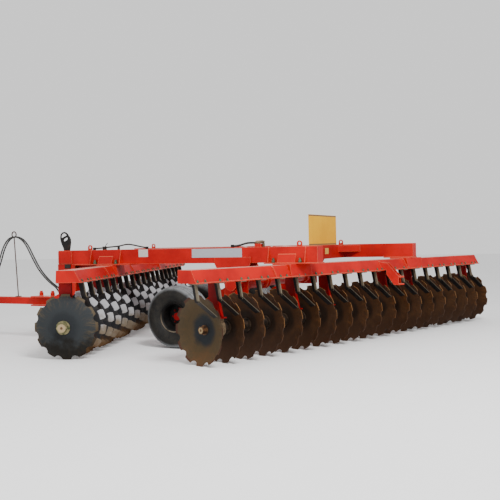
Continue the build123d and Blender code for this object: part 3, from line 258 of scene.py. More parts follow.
def disc_material(name, gang, mirror, first_tones, tones):
    """Notched discs round the shaft of a gang, scoured by soil, with painted shade in their centres; the
    near end's disc has its own tones.
    """
    material, tree, coords, shader = start(name, 0.55, 0.0, mirror)
    along, across, height, radius = shaft_fields(tree, coords, gang)
    angle = math(tree, "ARCTAN2", height, across)
    shift = DISC_DEPTH / 2 if gang.side > 0 else -DISC_DEPTH / 2
    from_first = math(tree, "SUBTRACT", along, shift)
    number = math(tree, "ROUND", math(tree, "DIVIDE", from_first, SPACING))
    pitches = math(tree, "MULTIPLY", angle, NOTCHES / (2 * pi))
    turned = math(tree, "MULTIPLY", number, -gang.side * NOTCH_TURN * NOTCHES / 360)
    from_notch = math(tree, "FRACT", math(tree, "ADD", pitches, math(tree, "ADD", turned, 20.0)))
    from_notch = math(tree, "ABSOLUTE", math(tree, "SUBTRACT", from_notch, 0.5))
    ring_place = {0: math(tree, "MULTIPLY", radius, 26.0), 1: angle, 2: number}
    rings = noise(tree, add(tree, "CombineXYZ", ring_place).outputs[0], 1.6, 7, 0.7)
    blotch = noise(tree, coords, 7.0, 8, 0.7)
    swept = math(tree, "ADD", math(tree, "MULTIPLY", angle, 7.0), math(tree, "MULTIPLY", blotch, 2.5))
    streak_place = {0: math(tree, "MULTIPLY", radius, 3.0), 1: swept, 2: number}
    streaks = noise(tree, add(tree, "CombineXYZ", streak_place).outputs[0], 1.4, 6, 0.75)
    ragged = wavering(tree, radius, blotch, 0.10)
    edge = wavering(tree, radius, streaks, 0.03)
    outer = span(tree, radius, 0.22, 0.40)
    # Wavy height over the shaft: it splits upper from lower tips and sets where the low tone starts
    soil = wavering(tree, height, blotch, 0.6)
    bases = []
    for kind in (first_tones, tones):
        # The centre tone, darker than the middle, is painted shade round the hub, blue-black in the hollow
        # of the rear gang's near disc
        base = mix(tree, span(tree, ragged, 0.15, 0.24), kind.centre, kind.middle)
        smears = math(tree, "MULTIPLY", span(tree, streaks, 0.45, 0.68), outer)
        base = mix(tree, math(tree, "MULTIPLY", smears, 0.85), base, kind.streak)
        worn_rings = math(tree, "MULTIPLY", span(tree, rings, 0.5, 0.75), 0.3)
        base = mix(tree, worn_rings, base, kind.centre)
        on_tip = math(
            tree, "MULTIPLY", span(tree, edge, kind.tip_start, kind.tip_start + TIP_FADE),
            span(tree, from_notch, kind.tab_gap - 0.03, kind.tab_gap + 0.01),
        )
        tip = mix(tree, span(tree, soil, 0.16, -0.12), kind.tip, kind.low_tip)
        base = mix(tree, on_tip, base, tip)
        # Towards the bottom each disc takes its low tone: brown soil on the front gang's other discs and
        # the rear's near disc, darker than the middle on the rest
        low = math(tree, "MULTIPLY", span(tree, soil, kind.soil_top, kind.soil_top - LOW_FADE), 0.88)
        bases.append(mix(tree, low, base, kind.mud))
    others = span(tree, number, 0.4, 0.6)
    tree.links.new(mix(tree, others, *bases), shader.inputs["Base Color"])
    polish = {"Value": edge, "From Min": 0.3, "From Max": 0.42, "To Min": 0.7, "To Max": 0.5}
    rough = add(tree, "MapRange", polish)
    tree.links.new(rough.outputs["Result"], shader.inputs["Roughness"])
    bump(tree, shader, math(tree, "ADD", rings, blotch), 0.35, 0.003)
    return material


def axle_material(name, gang, near_end, nut_r, nut_tone, washer_tones):
    """Dirty steel spools; nut and washer at the near end have tones of their own."""
    material, tree, coords, shader = start(name, 0.6, 0.2, 0.3)
    along, _, _, radius = shaft_fields(tree, coords, gang)
    blotch = span(tree, noise(tree, coords, 14.0, 8, 0.65), 0.35, 0.66)
    dirty = mix(tree, blotch, (0.010, 0.008, 0.007), (0.050, 0.030, 0.018))
    fine = span(tree, noise(tree, coords, 22.0, 6, 0.7), 0.4, 0.6)
    washer = mix(tree, fine, *washer_tones)
    thread = mix(tree, span(tree, radius, 0.014, 0.022), (0.09, 0.045, 0.02), nut_tone)
    clean = mix(tree, span(tree, radius, nut_r - 0.002, nut_r), thread, washer)
    is_end = span(tree, along, near_end, near_end - 0.002)
    tree.links.new(mix(tree, is_end, dirty, clean), shader.inputs["Base Color"])
    bump(tree, shader, fine, 0.3, 0.002)
    return material


def flat_plate(name, colour, dirt, roughness, metallic=0.0):
    """Thin blank plate or sticker with faint scratches and dirt."""
    material, tree, coords, shader = start(name, roughness, metallic)
    stretched = add(tree, "VectorMath", {0: coords, 1: (3, 3, 60)}, operation="MULTIPLY").outputs[0]
    scratch = span(tree, noise(tree, stretched, 6.0, 6), 0.45, 0.75)
    base = mix(tree, math(tree, "MULTIPLY", scratch, 0.35), colour, dirt)
    tree.links.new(base, shader.inputs["Base Color"])
    bump(tree, shader, scratch, 0.1, 0.0005)
    return material


# Materials
RED = painted(
    "red_paint", colour=(0.44, 0.003, 0.0005), shade=(0.32, 0.0012, 0.0008), dust_and_highlight=(0.74, 0.50, 0.38),
    gloss=0.42, dust_and_highlight_share=0.55, grime=0.2, edge_wear_and_highlight=(0.80, 0.26, 0.12),
)
# A darker copy of the red paint: painted shade for the standards, the seat rib and the hub caps, which sit
# in shade
SHADED_RED = painted(
    "shaded_red_paint", colour=(0.24, 0.0006, 0.0025), shade=(0.17, 0.0005, 0.002), dust_and_highlight=(0.36, 0.12, 0.08),
    gloss=0.5, dust_and_highlight_share=0.3,
)
BLACK = painted(
    "black_paint", colour=(0.009, 0.008, 0.008), shade=(0.018, 0.015, 0.013), dust_and_highlight=(0.14, 0.10, 0.07),
    gloss=0.5, dust_and_highlight_share=0.5, grime=0.5,
)
YELLOW = painted(
    "yellow_board", colour=(0.72, 0.37, 0.0), shade=(0.66, 0.32, 0.0), dust_and_highlight=(0.8, 0.5, 0.1),
    gloss=0.6, dust_and_highlight_share=0.05, grime=0.04,
)
CAST = steel(
    "dusty_cast", dark=(0.06, 0.04, 0.02), light=(0.22, 0.15, 0.085), roughness=0.8, metallic=0.1,
)
ZINC = steel(
    "greenish_zinc", dark=(0.015, 0.035, 0.018), light=(0.11, 0.13, 0.07), roughness=0.5, metallic=0.4,
    scale=60.0,
)
BARE = steel(
    "bare_steel", dark=(0.30, 0.29, 0.27), light=(0.62, 0.61, 0.58), roughness=0.28, metallic=0.9,
    scale=20.0, strength=0.1,
)
RUSTY_ROD = steel(
    "rusty_rod", dark=(0.030, 0.014, 0.012), light=(0.08, 0.035, 0.022), roughness=0.7, metallic=0.2,
    scale=30.0,
)
HOSE = steel(
    "hose_rubber", dark=(0.006, 0.006, 0.006), light=(0.020, 0.017, 0.014), roughness=0.55, metallic=0.0,
    scale=25.0, strength=0.15,
)
# Pale bluish grey in the tread's grooves: dust, and also painted highlight lines
GROOVE_DUST_AND_HIGHLIGHT = steel(
    "dusty_highlit_grooves", dark=(0.10, 0.11, 0.115), light=(0.30, 0.32, 0.33), roughness=0.8, metallic=0.0,
    scale=20.0,
)
SILVER = flat_plate(
    "silver_plate", colour=(0.36, 0.37, 0.40), dirt=(0.24, 0.25, 0.27), roughness=0.45, metallic=0.3,
)
STICKER = flat_plate("pale_sticker", colour=(0.48, 0.46, 0.42), dirt=(0.34, 0.31, 0.30), roughness=0.5)
BORDER = flat_plate("brown_border", colour=(0.13, 0.07, 0.03), dirt=(0.05, 0.03, 0.02), roughness=0.6)
YELLOW_STICKER = flat_plate(
    "yellow_sticker", colour=(0.60, 0.36, 0.06), dirt=(0.40, 0.25, 0.06), roughness=0.5,
)
REAR_DISCS = disc_material(
    "rusty_discs", REAR, 0.25,
    DiscTones(
        centre=(0.006, 0.008, 0.010), middle=(0.044, 0.027, 0.009), streak=(0.070, 0.036, 0.009),
        tip=(0.040, 0.010, 0.002), low_tip=(0.040, 0.010, 0.002), mud=(0.07, 0.03, 0.008),
        tip_start=0.400, soil_top=-0.2, tab_gap=0.0,
    ),
    # Other rear discs: orange-brown rims from rust and wear, brightened as painted glints along the edges
    DiscTones(
        centre=(0.020, 0.010, 0.005), middle=(0.062, 0.026, 0.009), streak=(0.15, 0.058, 0.016),
        tip=(0.26, 0.12, 0.038), low_tip=(0.13, 0.050, 0.013), mud=(0.032, 0.013, 0.005),
        tip_start=0.414, soil_top=0.0, tab_gap=0.0,
    ),
)
FRONT_DISCS = disc_material(
    "dark_discs", FRONT, 0.12,
    DiscTones(
        centre=(0.016, 0.018, 0.020), middle=(0.023, 0.026, 0.028), streak=(0.085, 0.062, 0.034),
        tip=(0.075, 0.056, 0.034), low_tip=(0.045, 0.030, 0.016), mud=(0.007, 0.005, 0.003),
        tip_start=0.395, soil_top=-0.05, tab_gap=0.0,
    ),
    DiscTones(
        centre=(0.007, 0.008, 0.009), middle=(0.014, 0.014, 0.016), streak=(0.030, 0.027, 0.024),
        tip=(0.36, 0.36, 0.375), low_tip=(0.16, 0.125, 0.088), mud=(0.085, 0.038, 0.010),
        tip_start=0.356, soil_top=-0.10, tab_gap=0.19,
    ),
)
FRONT_AXLE = axle_material(
    "front_axle_steel", FRONT, near_end=-DISC_DEPTH - DISC_T, nut_r=0.056, nut_tone=(0.30, 0.22, 0.12),
    washer_tones=((0.045, 0.055, 0.018), (0.20, 0.17, 0.085)),
)
REAR_AXLE = axle_material(
    "rear_axle_steel", REAR, near_end=DISC_DEPTH, nut_r=0.037, nut_tone=(0.26, 0.19, 0.09),
    washer_tones=((0.03, 0.014, 0.006), (0.12, 0.055, 0.02)),
)


ARM_TOP = 0.598
ARM_LEAN = 0.21
ARM_MIDDLE = 0.174


def scraper_material(name, gang, on_arms):
    """Black arms with dry soil on the feet, and a pale soil tone on rear halves and rearward edges that is
    also painted light on the side the light comes from; none on blade sides.
    """
    material, tree, coords, shader = start(name, 0.55, 0.1, 0.2)
    _, across, height, _ = shaft_fields(tree, coords, gang)
    lean = math(tree, "MULTIPLY", math(tree, "SUBTRACT", ARM_TOP, height), ARM_LEAN)
    behind = math(tree, "SUBTRACT", across, math(tree, "ADD", lean, ARM_MIDDLE))
    normal = add(tree, "NewGeometry").outputs["Normal"]
    back = add(tree, "SeparateXYZ", {0: normal}).outputs[0]
    patches = noise(tree, coords, 16.0, 7, 0.7)
    above_blade = span(tree, height, 0.37, 0.40)
    # Rear halves and strips take the pale soil tone, which also stands in as painted light on the lit side
    rear_half_soil_and_light = math(tree, "MULTIPLY", span(tree, behind, 0.0, 0.008), above_blade)
    rear_strip_soil_and_light = math(tree, "MULTIPLY", span(tree, behind, 0.022, 0.028), above_blade)
    foot = span(tree, height, ARM_TOP - 0.016, ARM_TOP - 0.012)
    arm_soil_and_light = math(tree, "MULTIPLY", math(tree, "MAXIMUM", rear_half_soil_and_light, foot), on_arms)
    # Faces that look rearward take the same tone: soil, and also painted light from the rear
    rearward_soil_and_light = math(tree, "MAXIMUM", span(tree, back, 0.72, 0.93), rear_strip_soil_and_light)
    soil = math(tree, "MULTIPLY", math(tree, "MAXIMUM", arm_soil_and_light, rearward_soil_and_light), span(tree, patches, 0.2, 0.45))
    base = mix(tree, span(tree, patches, 0.5, 0.8), (0.006, 0.005, 0.005), (0.03, 0.018, 0.012))
    tree.links.new(mix(tree, soil, base, (0.12, 0.098, 0.066)), shader.inputs["Base Color"])
    bump(tree, shader, patches, 0.3, 0.002)
    return material


SCRAPERS = {
    "front": scraper_material("front_scraper_paint", FRONT, 0.04),
    "rear": scraper_material("rear_scraper_paint", REAR, 1.0),
}


def wheel_fields(tree, coords):
    """Distance of a point from the line through the wheels' centres, and its height above it."""
    centre = (WHEEL_X, 0, WHEEL_Z)
    from_axle = add(tree, "VectorMath", {0: coords, 1: centre}, operation="SUBTRACT").outputs[0]
    flat = add(tree, "VectorMath", {0: from_axle, 1: (1, 0, 1)}, operation="MULTIPLY").outputs[0]
    radius = add(tree, "VectorMath", {0: flat}, operation="LENGTH").outputs[1]
    return radius, add(tree, "SeparateXYZ", {0: from_axle}).outputs[2]


def tyre_material():
    """Worn rubber, black on the walls; the tread's bluish grey is partly dusted rubber and partly a painted
    sheen.
    """
    material, tree, coords, shader = start("tyre_rubber", 0.62, 0.0, 0.2)
    radius, _ = wheel_fields(tree, coords)
    patches = noise(tree, coords, 9.0, 7, 0.7)
    fine = noise(tree, coords, 90.0, 4)
    base = mix(tree, span(tree, patches, 0.35, 0.7), (0.006, 0.006, 0.006), (0.018, 0.016, 0.013))
    base = mix(tree, math(tree, "MULTIPLY", span(tree, fine, 0.4, 0.7), 0.2), base, (0.05, 0.043, 0.035))
    # Bluish grey on the tread: dust, and also a painted sheen
    tread = math(tree, "MULTIPLY", span(tree, radius, 0.370, 0.428), span(tree, patches, 0.1, 0.6))
    base = mix(tree, tread, base, (0.165, 0.172, 0.176))
    tree.links.new(base, shader.inputs["Base Color"])
    bump(tree, shader, fine, 0.3, 0.002)
    return material


TYRE = tyre_material()


def rim_material():
    """Black wheel dish with a pale band along the lower half of its flange's edge."""
    material, tree, coords, shader = start("rim_paint", 0.6, 0.0, 0.15)
    radius, height = wheel_fields(tree, coords)
    patches = noise(tree, coords, 12.0, 6, 0.7)
    base = mix(tree, span(tree, patches, 0.4, 0.7), (0.004, 0.004, 0.004), (0.012, 0.010, 0.009))
    edge = math(tree, "MULTIPLY", span(tree, radius, 0.196, 0.206), span(tree, patches, 0.3, 0.5))
    edge = math(tree, "MULTIPLY", edge, span(tree, height, 0.10, -0.10))
    tree.links.new(mix(tree, edge, base, (0.15, 0.12, 0.085)), shader.inputs["Base Color"])
    bump(tree, shader, patches, 0.2, 0.002)
    return material


RIM_PAINT = rim_material()


# Materials of the solids that stay
def node_material(name):
    if name.startswith("front_discs"):
        return FRONT_DISCS
    if name.startswith("rear_discs"):
        return REAR_DISCS
    if name.startswith("front_axle"):
        return FRONT_AXLE
    if name.startswith("rear_axle"):
        return REAR_AXLE
    if name.endswith("bearings"):
        return CAST
    if name.endswith("scrapers"):
        return SCRAPERS[name.split("_")[0]]
    if name.endswith("standards"):
        return SHADED_RED
    if name in ("level_bar", "coupler_rest", "hose_clips"):
        return BLACK
    if name.endswith("hose"):
        return HOSE
    if name.endswith("tyres"):
        return TYRE
    if name.endswith("rims"):
        return RIM_PAINT
    if name.endswith("cylinder_rod"):
        return BARE
    if name == "hose_rod":
        return RUSTY_ROD
    if name == "sign_board":
        return YELLOW
    return RED


for name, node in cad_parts.items():
    material = node_material(name)
    node.data.materials.clear()
    node.data.materials.append(material)


# Mesh helpers
def piece(name, mesh, material, body, smooth=False):
    data = bpy.data.meshes.new(name)
    bmesh.ops.recalc_face_normals(mesh, faces=mesh.faces)
    for face in mesh.faces:
        face.smooth = smooth
    mesh.to_mesh(data)
    mesh.free()
    obj = bpy.data.objects.new(name, data)
    bpy.context.scene.collection.objects.link(obj)
    data.materials.append(material)
    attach(obj, body)
    return obj


def frame_at(origin, axis, hint=Vector((0, 0, 1))):
    """Matrix at origin whose Z is the axis."""
    z = Vector(axis).normalized()
    if abs(z.dot(hint)) > 0.95:
        hint = Vector((1, 0, 0))
    x = hint.cross(z).normalized()
    y = z.cross(x)
    turn = Matrix((x, y, z)).transposed().to_4x4()
    return Matrix.Translation(origin) @ turn


def lathe(mesh, place, profile, sides, phase=0.0):
    """Revolves (radius, height) pairs about the place's Z."""
    rings = []
    for radius, height in profile:
        ring = []
        for k in range(sides):
            angle = phase + 2 * pi * k / sides
            ring.append(mesh.verts.new(place @ Vector((radius * cos(angle), radius * sin(angle), height))))
        rings.append(ring)
    for low, high in zip(rings, rings[1:]):
        for k in range(sides):
            mesh.faces.new((low[k], low[(k + 1) % sides], high[(k + 1) % sides], high[k]))
    mesh.faces.new(reversed(rings[0]))
    mesh.faces.new(rings[-1])


def bolt(mesh, place, across, height, washer=1.35):
    """Chamfered hex head on a washer, with the stud's end above it."""
    corner = across / 2 / cos(pi / 6)
    washer_r = across / 2 * washer
    washer_t = height * 0.18
    stud_r = across * 0.27
    lathe(mesh, place, ((washer_r, 0), (washer_r, washer_t)), 20)
    lathe(mesh, place, ((corner, washer_t), (corner, height * 0.88), (corner * 0.86, height)), 6)
    lathe(mesh, place, ((stud_r, height), (stud_r, height * 1.35), (across * 0.2, height * 1.45)), 12)


def slab(mesh, corners, thickness, bevel=0.0):
    """Closed plate from four corners, thickened towards their normal."""
    corners = [Vector(c) for c in corners]
    normal = (corners[1] - corners[0]).cross(corners[-1] - corners[0]).normalized()
    low = [mesh.verts.new(c) for c in corners]
    high = [mesh.verts.new(c + normal * thickness) for c in corners]
    mesh.faces.new(reversed(low))
    top = mesh.faces.new(high)
    count = len(corners)
    for k in range(count):
        mesh.faces.new((low[k], low[(k + 1) % count], high[(k + 1) % count], high[k]))
    if bevel:
        bmesh.ops.bevel(mesh, geom=list(top.edges), offset=bevel, segments=2, affect="EDGES", profile=0.5)


def facing_near(x0, x1, low, high, y):
    """Corners of an upright rectangle that looks to the near side."""
    return (x0, y, low), (x1, y, low), (x1, y, high), (x0, y, high)


def facing_rear(y0, y1, low, high, x):
    """Corners of an upright rectangle that looks to the rear."""
    return (x, y0, low), (x, y1, low), (x, y1, high), (x, y0, high)


def facing_up(x0, x1, y0, y1, z):
    """Corners of a level rectangle that looks up."""
    return (x0, y0, z), (x1, y0, z), (x1, y1, z), (x0, y1, z)


# Bolt pairs along both gang beams, one pair for each scraper, and one single at the front's
# near end; shift moves the row along the beam
BOLT_ACROSS = 0.030
BOLT_HEIGHT = 0.024
BOLT_PAIR = 0.120
BOLT_INSET = 0.022
for gang, shift, extra in ((FRONT, 0.080, (-0.113,)), (REAR, 0.032, ())):
    heads = bmesh.new()
    spots = list(extra)
    for k in range(DISC_COUNT):
        middle = k * SPACING - gang.side * gang.arm_gap + shift
        spots += [middle - BOLT_PAIR / 2, middle + BOLT_PAIR / 2]
    for along in spots:
        seat = gang.place(along, FLANGE_EDGE - BOLT_INSET, FLANGE_TOP)
        bolt(heads, frame_at(seat, (0, 0, 1)), BOLT_ACROSS, BOLT_HEIGHT)
    piece(f"{gang.name}_flange_bolts", heads, ZINC, "frame")

# Blank plate and sticker on the near beam: x from, x to, lower and upper edge over the ground
NEAR_FACE = -MAIN_HALF
CLEAR = 0.0002
PLATE_T = 0.0025
PLATES = (
    ("silver_name_plate", SILVER, 5.362, 6.167, 1.285, 1.410),
    ("pale_sticker", STICKER, 4.441, 4.607, 1.305, 1.416),
)
for name, material, x0, x1, low, high in PLATES:
    mesh = bmesh.new()
    corners = facing_near(x0, x1, GROUND + low, GROUND + high, NEAR_FACE - CLEAR)
    slab(mesh, corners, PLATE_T, 0.0008)
    piece(name, mesh, material, "frame")

# Small blank yellow sticker on the rear face of the rear cross beam
CROSS_REAR = 6.722
STICKER_T = 0.001
mesh = bmesh.new()
slab(mesh, facing_rear(1.640, 1.790, GROUND + 1.280, GROUND + 1.372, CROSS_REAR + CLEAR), STICKER_T)
piece("yellow_sticker", mesh, YELLOW_STICKER, "frame")

# Brown borders along the bottom and the top of the yellow board's rear face
SIGN_Y = (1.280, 2.480)
SIGN_LOW, SIGN_HIGH = 1.421, 1.896
SIGN_BACK = 6.598
BORDER_X = SIGN_BACK + 0.0038
BORDER_GAP = 0.004
BORDER_WIDTH = 0.018
mesh = bmesh.new()
for low in (SIGN_LOW + BORDER_GAP, SIGN_HIGH - BORDER_GAP - BORDER_WIDTH):
    slab(mesh, facing_rear(
        SIGN_Y[0] + BORDER_GAP, SIGN_Y[1] - BORDER_GAP, GROUND + low, GROUND + low + BORDER_WIDTH, BORDER_X,
    ), STICKER_T)
piece("board_borders", mesh, BORDER, "frame")

# Ribbed tyres, one mesh for each pair
TYRE_OUT = 0.327
ARM_OUT = 0.190
TREAD_HALF = 0.170
CROWN_R = 0.4455
CROWN_DROP = 0.022
BEAD = (0.1310, 0.1972)
WALL = ((0.1440, 0.2155), (0.1995, 0.330), (TREAD_HALF, 0.4235))
GROOVES = (-0.118, -0.062, 0.0, 0.062, 0.118)
GROOVE_HALF = 0.011
GROOVE_DEPTH = 0.010
WALL_STEPS = 12
RIDGE_POINTS = (3, 4, 8)
RIDGE_IN = 0.003
TREAD_START = 2 + WALL_STEPS + 1
SIDES = 96


def arc(a, b, c, steps):
    """Points of the circle through a, b and c, from a to c."""
    ax, ay, bx, by, cx, cy = *a, *b, *c
    d = 2 * (ax * (by - cy) + bx * (cy - ay) + cx * (ay - by))
    ux = ((ax**2 + ay**2) * (by - cy) + (bx**2 + by**2) * (cy - ay) + (cx**2 + cy**2) * (ay - by)) / d
    uy = ((ax**2 + ay**2) * (cx - bx) + (bx**2 + by**2) * (ax - cx) + (cx**2 + cy**2) * (bx - ax)) / d
    first = atan2(ay - uy, ax - ux)
    sweep = (atan2(cy - uy, cx - ux) - first + pi) % (2 * pi) - pi
    reach = hypot(ax - ux, ay - uy)
    return [
        (ux + reach * cos(first + sweep * k / steps), uy + reach * sin(first + sweep * k / steps))
        for k in range(steps + 1)
    ]


def tyre_profile():
    """Closed outline of (place along the axle, radius): bead, wall, grooved tread, wall."""
    wall = []
    for k, (y, r) in enumerate(arc(*WALL, WALL_STEPS)):
        wall.append((y - (RIDGE_IN if k in RIDGE_POINTS else 0.0), r))
    tread = []
    for middle in reversed(GROOVES):
        crown = CROWN_R - CROWN_DROP * (middle / TREAD_HALF) ** 2
        top = crown - 0.0005
        bottom = crown - GROOVE_DEPTH
        tread += [(middle + GROOVE_HALF, top), (middle + GROOVE_HALF * 0.7, bottom)]
        tread += [(middle - GROOVE_HALF * 0.7, bottom), (middle - GROOVE_HALF, top)]
    mirrored = [(-y, r) for y, r in reversed(wall)]
    return [(-BEAD[0], BEAD[1]), BEAD] + wall + tread + mirrored


for name, middle in (("near", ARM_OUT), ("far", FAR_BEAM_Y - ARM_OUT)):
    mesh = bmesh.new()
    for side in (-1, 1):
        centre = middle + side * TYRE_OUT
        rings = []
        for k in range(SIDES):
            turn = 2 * pi * k / SIDES
            rings.append([
                mesh.verts.new((WHEEL_X + r * sin(turn), centre + y, WHEEL_Z + r * cos(turn)))
                for y, r in tyre_profile()
            ])
        for k in range(SIDES):
            here, there = rings[k], rings[(k + 1) % SIDES]
            for j in range(len(here)):
                after = (j + 1) % len(here)
                face = mesh.faces.new((here[j], here[after], there[after], there[j]))
                # each groove has four points, so three of every four faces lie in it
                in_tread = TREAD_START <= j < TREAD_START + 4 * len(GROOVES)
                face.material_index = 1 if in_tread and (j - TREAD_START) % 4 < 3 else 0
    tyre = piece(f"{name}_ribbed_tyres", mesh, TYRE, f"{name}_wheels", smooth=True)
    tyre.data.materials.append(GROOVE_DUST_AND_HIGHLIGHT)
    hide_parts(f"{name}_tyres")

# Red hub caps and wheel nuts, deep in the outer side of each wheel
HUB_FACE = 0.045
DISH_FACE = -0.030
CAP_R = 0.058
CAP = ((CAP_R, 0), (CAP_R, 0.012), (CAP_R * 0.8, 0.020), (CAP_R * 0.4, 0.022))
NUT_CIRCLE = 0.112
NUT_ACROSS = 0.030
NUT_HEIGHT = 0.020
WHEEL_NUTS = 8
for name, middle in (("near", ARM_OUT), ("far", FAR_BEAM_Y - ARM_OUT)):
    mesh = bmesh.new()
    for side in (-1, 1):
        out = Vector((0, side, 0))
        face = Vector((WHEEL_X, middle + side * (TYRE_OUT + HUB_FACE), WHEEL_Z))
        lathe(mesh, frame_at(face, out), CAP, 28)
        for k in range(WHEEL_NUTS):
            turn = 2 * pi * k / WHEEL_NUTS
            spot = Vector((
                WHEEL_X + NUT_CIRCLE * cos(turn),
                middle + side * (TYRE_OUT + DISH_FACE),
                WHEEL_Z + NUT_CIRCLE * sin(turn),
            ))
            bolt(mesh, frame_at(spot, out), NUT_ACROSS, NUT_HEIGHT, 1.15)
    piece(f"{name}_hub_caps", mesh, SHADED_RED, f"{name}_wheels")

# Nuts and washers on the studs of the seats: gang, beam's y, shift of the seat along x, studs'
# distance from its middle, and the sides of the beam that have studs
SEATS = (
    (FRONT, 0.0, 0.036, 0.195, (-1, 1)),
    (FRONT, FAR_BEAM_Y, 0.0, 0.195, (-1, 1)),
    (REAR, 0.0, 0.0, 0.195, (-1,)),
    (REAR, FAR_BEAM_Y, -0.067, 0.170, (1,)),
)
BEAM_MIDDLE = 0.070
STUD_OUT = 0.025
SEAT_WASHER = ((0.0245, 0), (0.0245, 0.006))
SEAT_NUT = ((0.0215, 0.006), (0.0245, 0.010), (0.0245, 0.030), (0.0200, 0.035))
SEAT_STUD = ((0.0160, 0.035), (0.0160, 0.0622), (0.0120, 0.0640))
mesh = bmesh.new()
for gang, y, shift, step, sides in SEATS:
    along = (y - gang.origin.y + BEAM_MIDDLE * sin(gang.turn)) / cos(gang.turn)
    middle_x = gang.origin.x + along * sin(gang.turn) + BEAM_MIDDLE * cos(gang.turn) + shift
    for side in sides:
        for out in (-step, step):
            spot = Vector((middle_x + out, y + side * (MAIN_HALF + STUD_OUT), MAIN_BOTTOM))
            at = frame_at(spot, (0, 0, 1))
            lathe(mesh, at, SEAT_WASHER, 24)
            lathe(mesh, at, SEAT_NUT, 6)
            lathe(mesh, at, SEAT_STUD, 16)
piece("seat_nuts", mesh, ZINC, "frame")

# Black head of the level bar: a flat plate with two openings, heights over the beam's top
HEAD_OUTLINE = (
    (2.948, -0.204), (2.948, -0.001), (2.935, 0.040), (2.909, 0.089), (2.889, 0.136), (2.877, 0.183),
    (2.876, 0.217), (2.887, 0.259), (2.917, 0.285), (2.959, 0.294), (2.987, 0.285), (3.020, 0.261),
    (3.038, 0.234), (3.060, 0.208), (3.076, 0.176), (3.080, 0.123), (3.071, 0.070), (3.061, 0.017),
    (3.053, -0.001), (3.053, -0.204),
)
HEAD_EYE = (
    (2.893, 0.232), (2.905, 0.258), (2.930, 0.272), (2.956, 0.275), (2.990, 0.262), (3.010, 0.240),
    (2.980, 0.228), (2.927, 0.205), (2.896, 0.198), (2.888, 0.212),
)
HEAD_HOLE = (
    (3.018, 0.213), (3.028, 0.190), (3.014, 0.165), (2.967, 0.145), (2.943, 0.143), (2.932, 0.157),
    (2.940, 0.178), (2.970, 0.197),
)
HEAD_HALF = 0.008
HEAD_BEVEL = 0.002
data = bpy.data.curves.new("level_head_outline", "CURVE")
data.dimensions = "2D"
data.fill_mode = "BOTH"
data.extrude = HEAD_HALF
data.bevel_depth = HEAD_BEVEL
for outline in (HEAD_OUTLINE, HEAD_EYE, HEAD_HOLE):
    spline = data.splines.new("POLY")
    spline.points.add(len(outline) - 1)
    for point, (x, z) in zip(spline.points, outline):
        point.co = (x, z, 0, 1)
    spline.use_cyclic_u = True
flat = bpy.data.objects.new("level_head_outline", data)
bpy.context.scene.collection.objects.link(flat)
bpy.context.view_layer.update()
mesh = bmesh.new()
filled = bpy.data.meshes.new_from_object(flat)
mesh.from_mesh(filled)
bpy.data.objects.remove(flat)
bpy.data.meshes.remove(filled)
upright = Matrix.Translation((0, 0, MAIN_TOP)) @ Matrix.Rotation(pi / 2, 4, "X")
bmesh.ops.transform(mesh, matrix=upright, verts=mesh.verts)
head = piece("level_head", mesh, BLACK, "frame")
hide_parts("level_bar")

# Black foot of the level bar on the hanger's cheek, under the main beam
FOOT_X = (3.036, 3.150)
FOOT_FACE = -0.0952
FOOT_DEPTH = 0.066
FOOT_T = 0.014
mesh = bmesh.new()
slab(mesh, facing_near(*FOOT_X, MAIN_BOTTOM - FOOT_DEPTH, MAIN_BOTTOM - 0.001, FOOT_FACE), FOOT_T, 0.003)
piece("level_bar_foot", mesh, BLACK, "frame")

# Rib from the hanger to the seat: a wide lip against the main beam and a web under it
RIB_X = (3.231, 3.655)
LIP_HALF = 0.125
LIP_T = 0.010
RIB_DEPTH = 0.062
WEB_Y = -0.006
WEB_T = 0.012
lip_bottom = MAIN_BOTTOM - LIP_T
mesh = bmesh.new()
slab(mesh, facing_up(*RIB_X, -LIP_HALF, LIP_HALF, lip_bottom), LIP_T - 0.0004, 0.002)
slab(mesh, facing_near(*RIB_X, MAIN_BOTTOM - RIB_DEPTH, lip_bottom, WEB_Y), WEB_T)
piece("seat_rib", mesh, SHADED_RED, "frame")

# Valve on the near beam: red block, two lying spools, hexagon plugs on and behind the block
VALVE_X = (6.332, 6.430)
VALVE_HALF = 0.040
VALVE_HEIGHT = 0.046
SPOOL_HEIGHT = 0.067
SPOOL = ((0.014, 0), (0.014, 0.018), (0.021, 0.018), (0.021, 0.098), (0.015, 0.098), (0.015, 0.118))
SPOOL_LEAN = Vector((1, 0, 0.04))
TOP_PLUG = ((0.013, 0), (0.013, 0.030), (0.009, 0.044))
REAR_PLUG = ((0.017, 0), (0.017, 0.050), (0.010, 0.058))
mesh = bmesh.new()
slab(mesh, facing_up(*VALVE_X, -VALVE_HALF, VALVE_HALF, MAIN_TOP), VALVE_HEIGHT, 0.002)
block = piece("valve_base", mesh, RED, "frame")
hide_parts("valve_block")
mesh = bmesh.new()
for y in (-0.020, 0.020):
    lathe(mesh, frame_at(Vector((6.338, y, MAIN_TOP + SPOOL_HEIGHT)), SPOOL_LEAN), SPOOL, 20)
for x in (6.352, 6.392):
    lathe(mesh, frame_at(Vector((x, 0.0, MAIN_TOP + VALVE_HEIGHT)), (0, 0, 1)), TOP_PLUG, 6)
lathe(mesh, frame_at(Vector((6.455, 0.0, MAIN_TOP)), (0, 0, 1)), REAR_PLUG, 6)
piece("valve_spools", mesh, CAST, "frame")

# Collars on the two pins of the drawbar yoke
YOKE_TOP = 0.079
COLLAR = ((0.033, 0), (0.033, 0.052), (0.029, 0.056))
for x in (2.450, 2.685):
    mesh = bmesh.new()
    lathe(mesh, frame_at(Vector((x, 0, YOKE_TOP)), (0, 0, 1)), COLLAR, 24)
    piece(f"pin_collar_{round(x * 1000)}", mesh, RED, "drawbar")

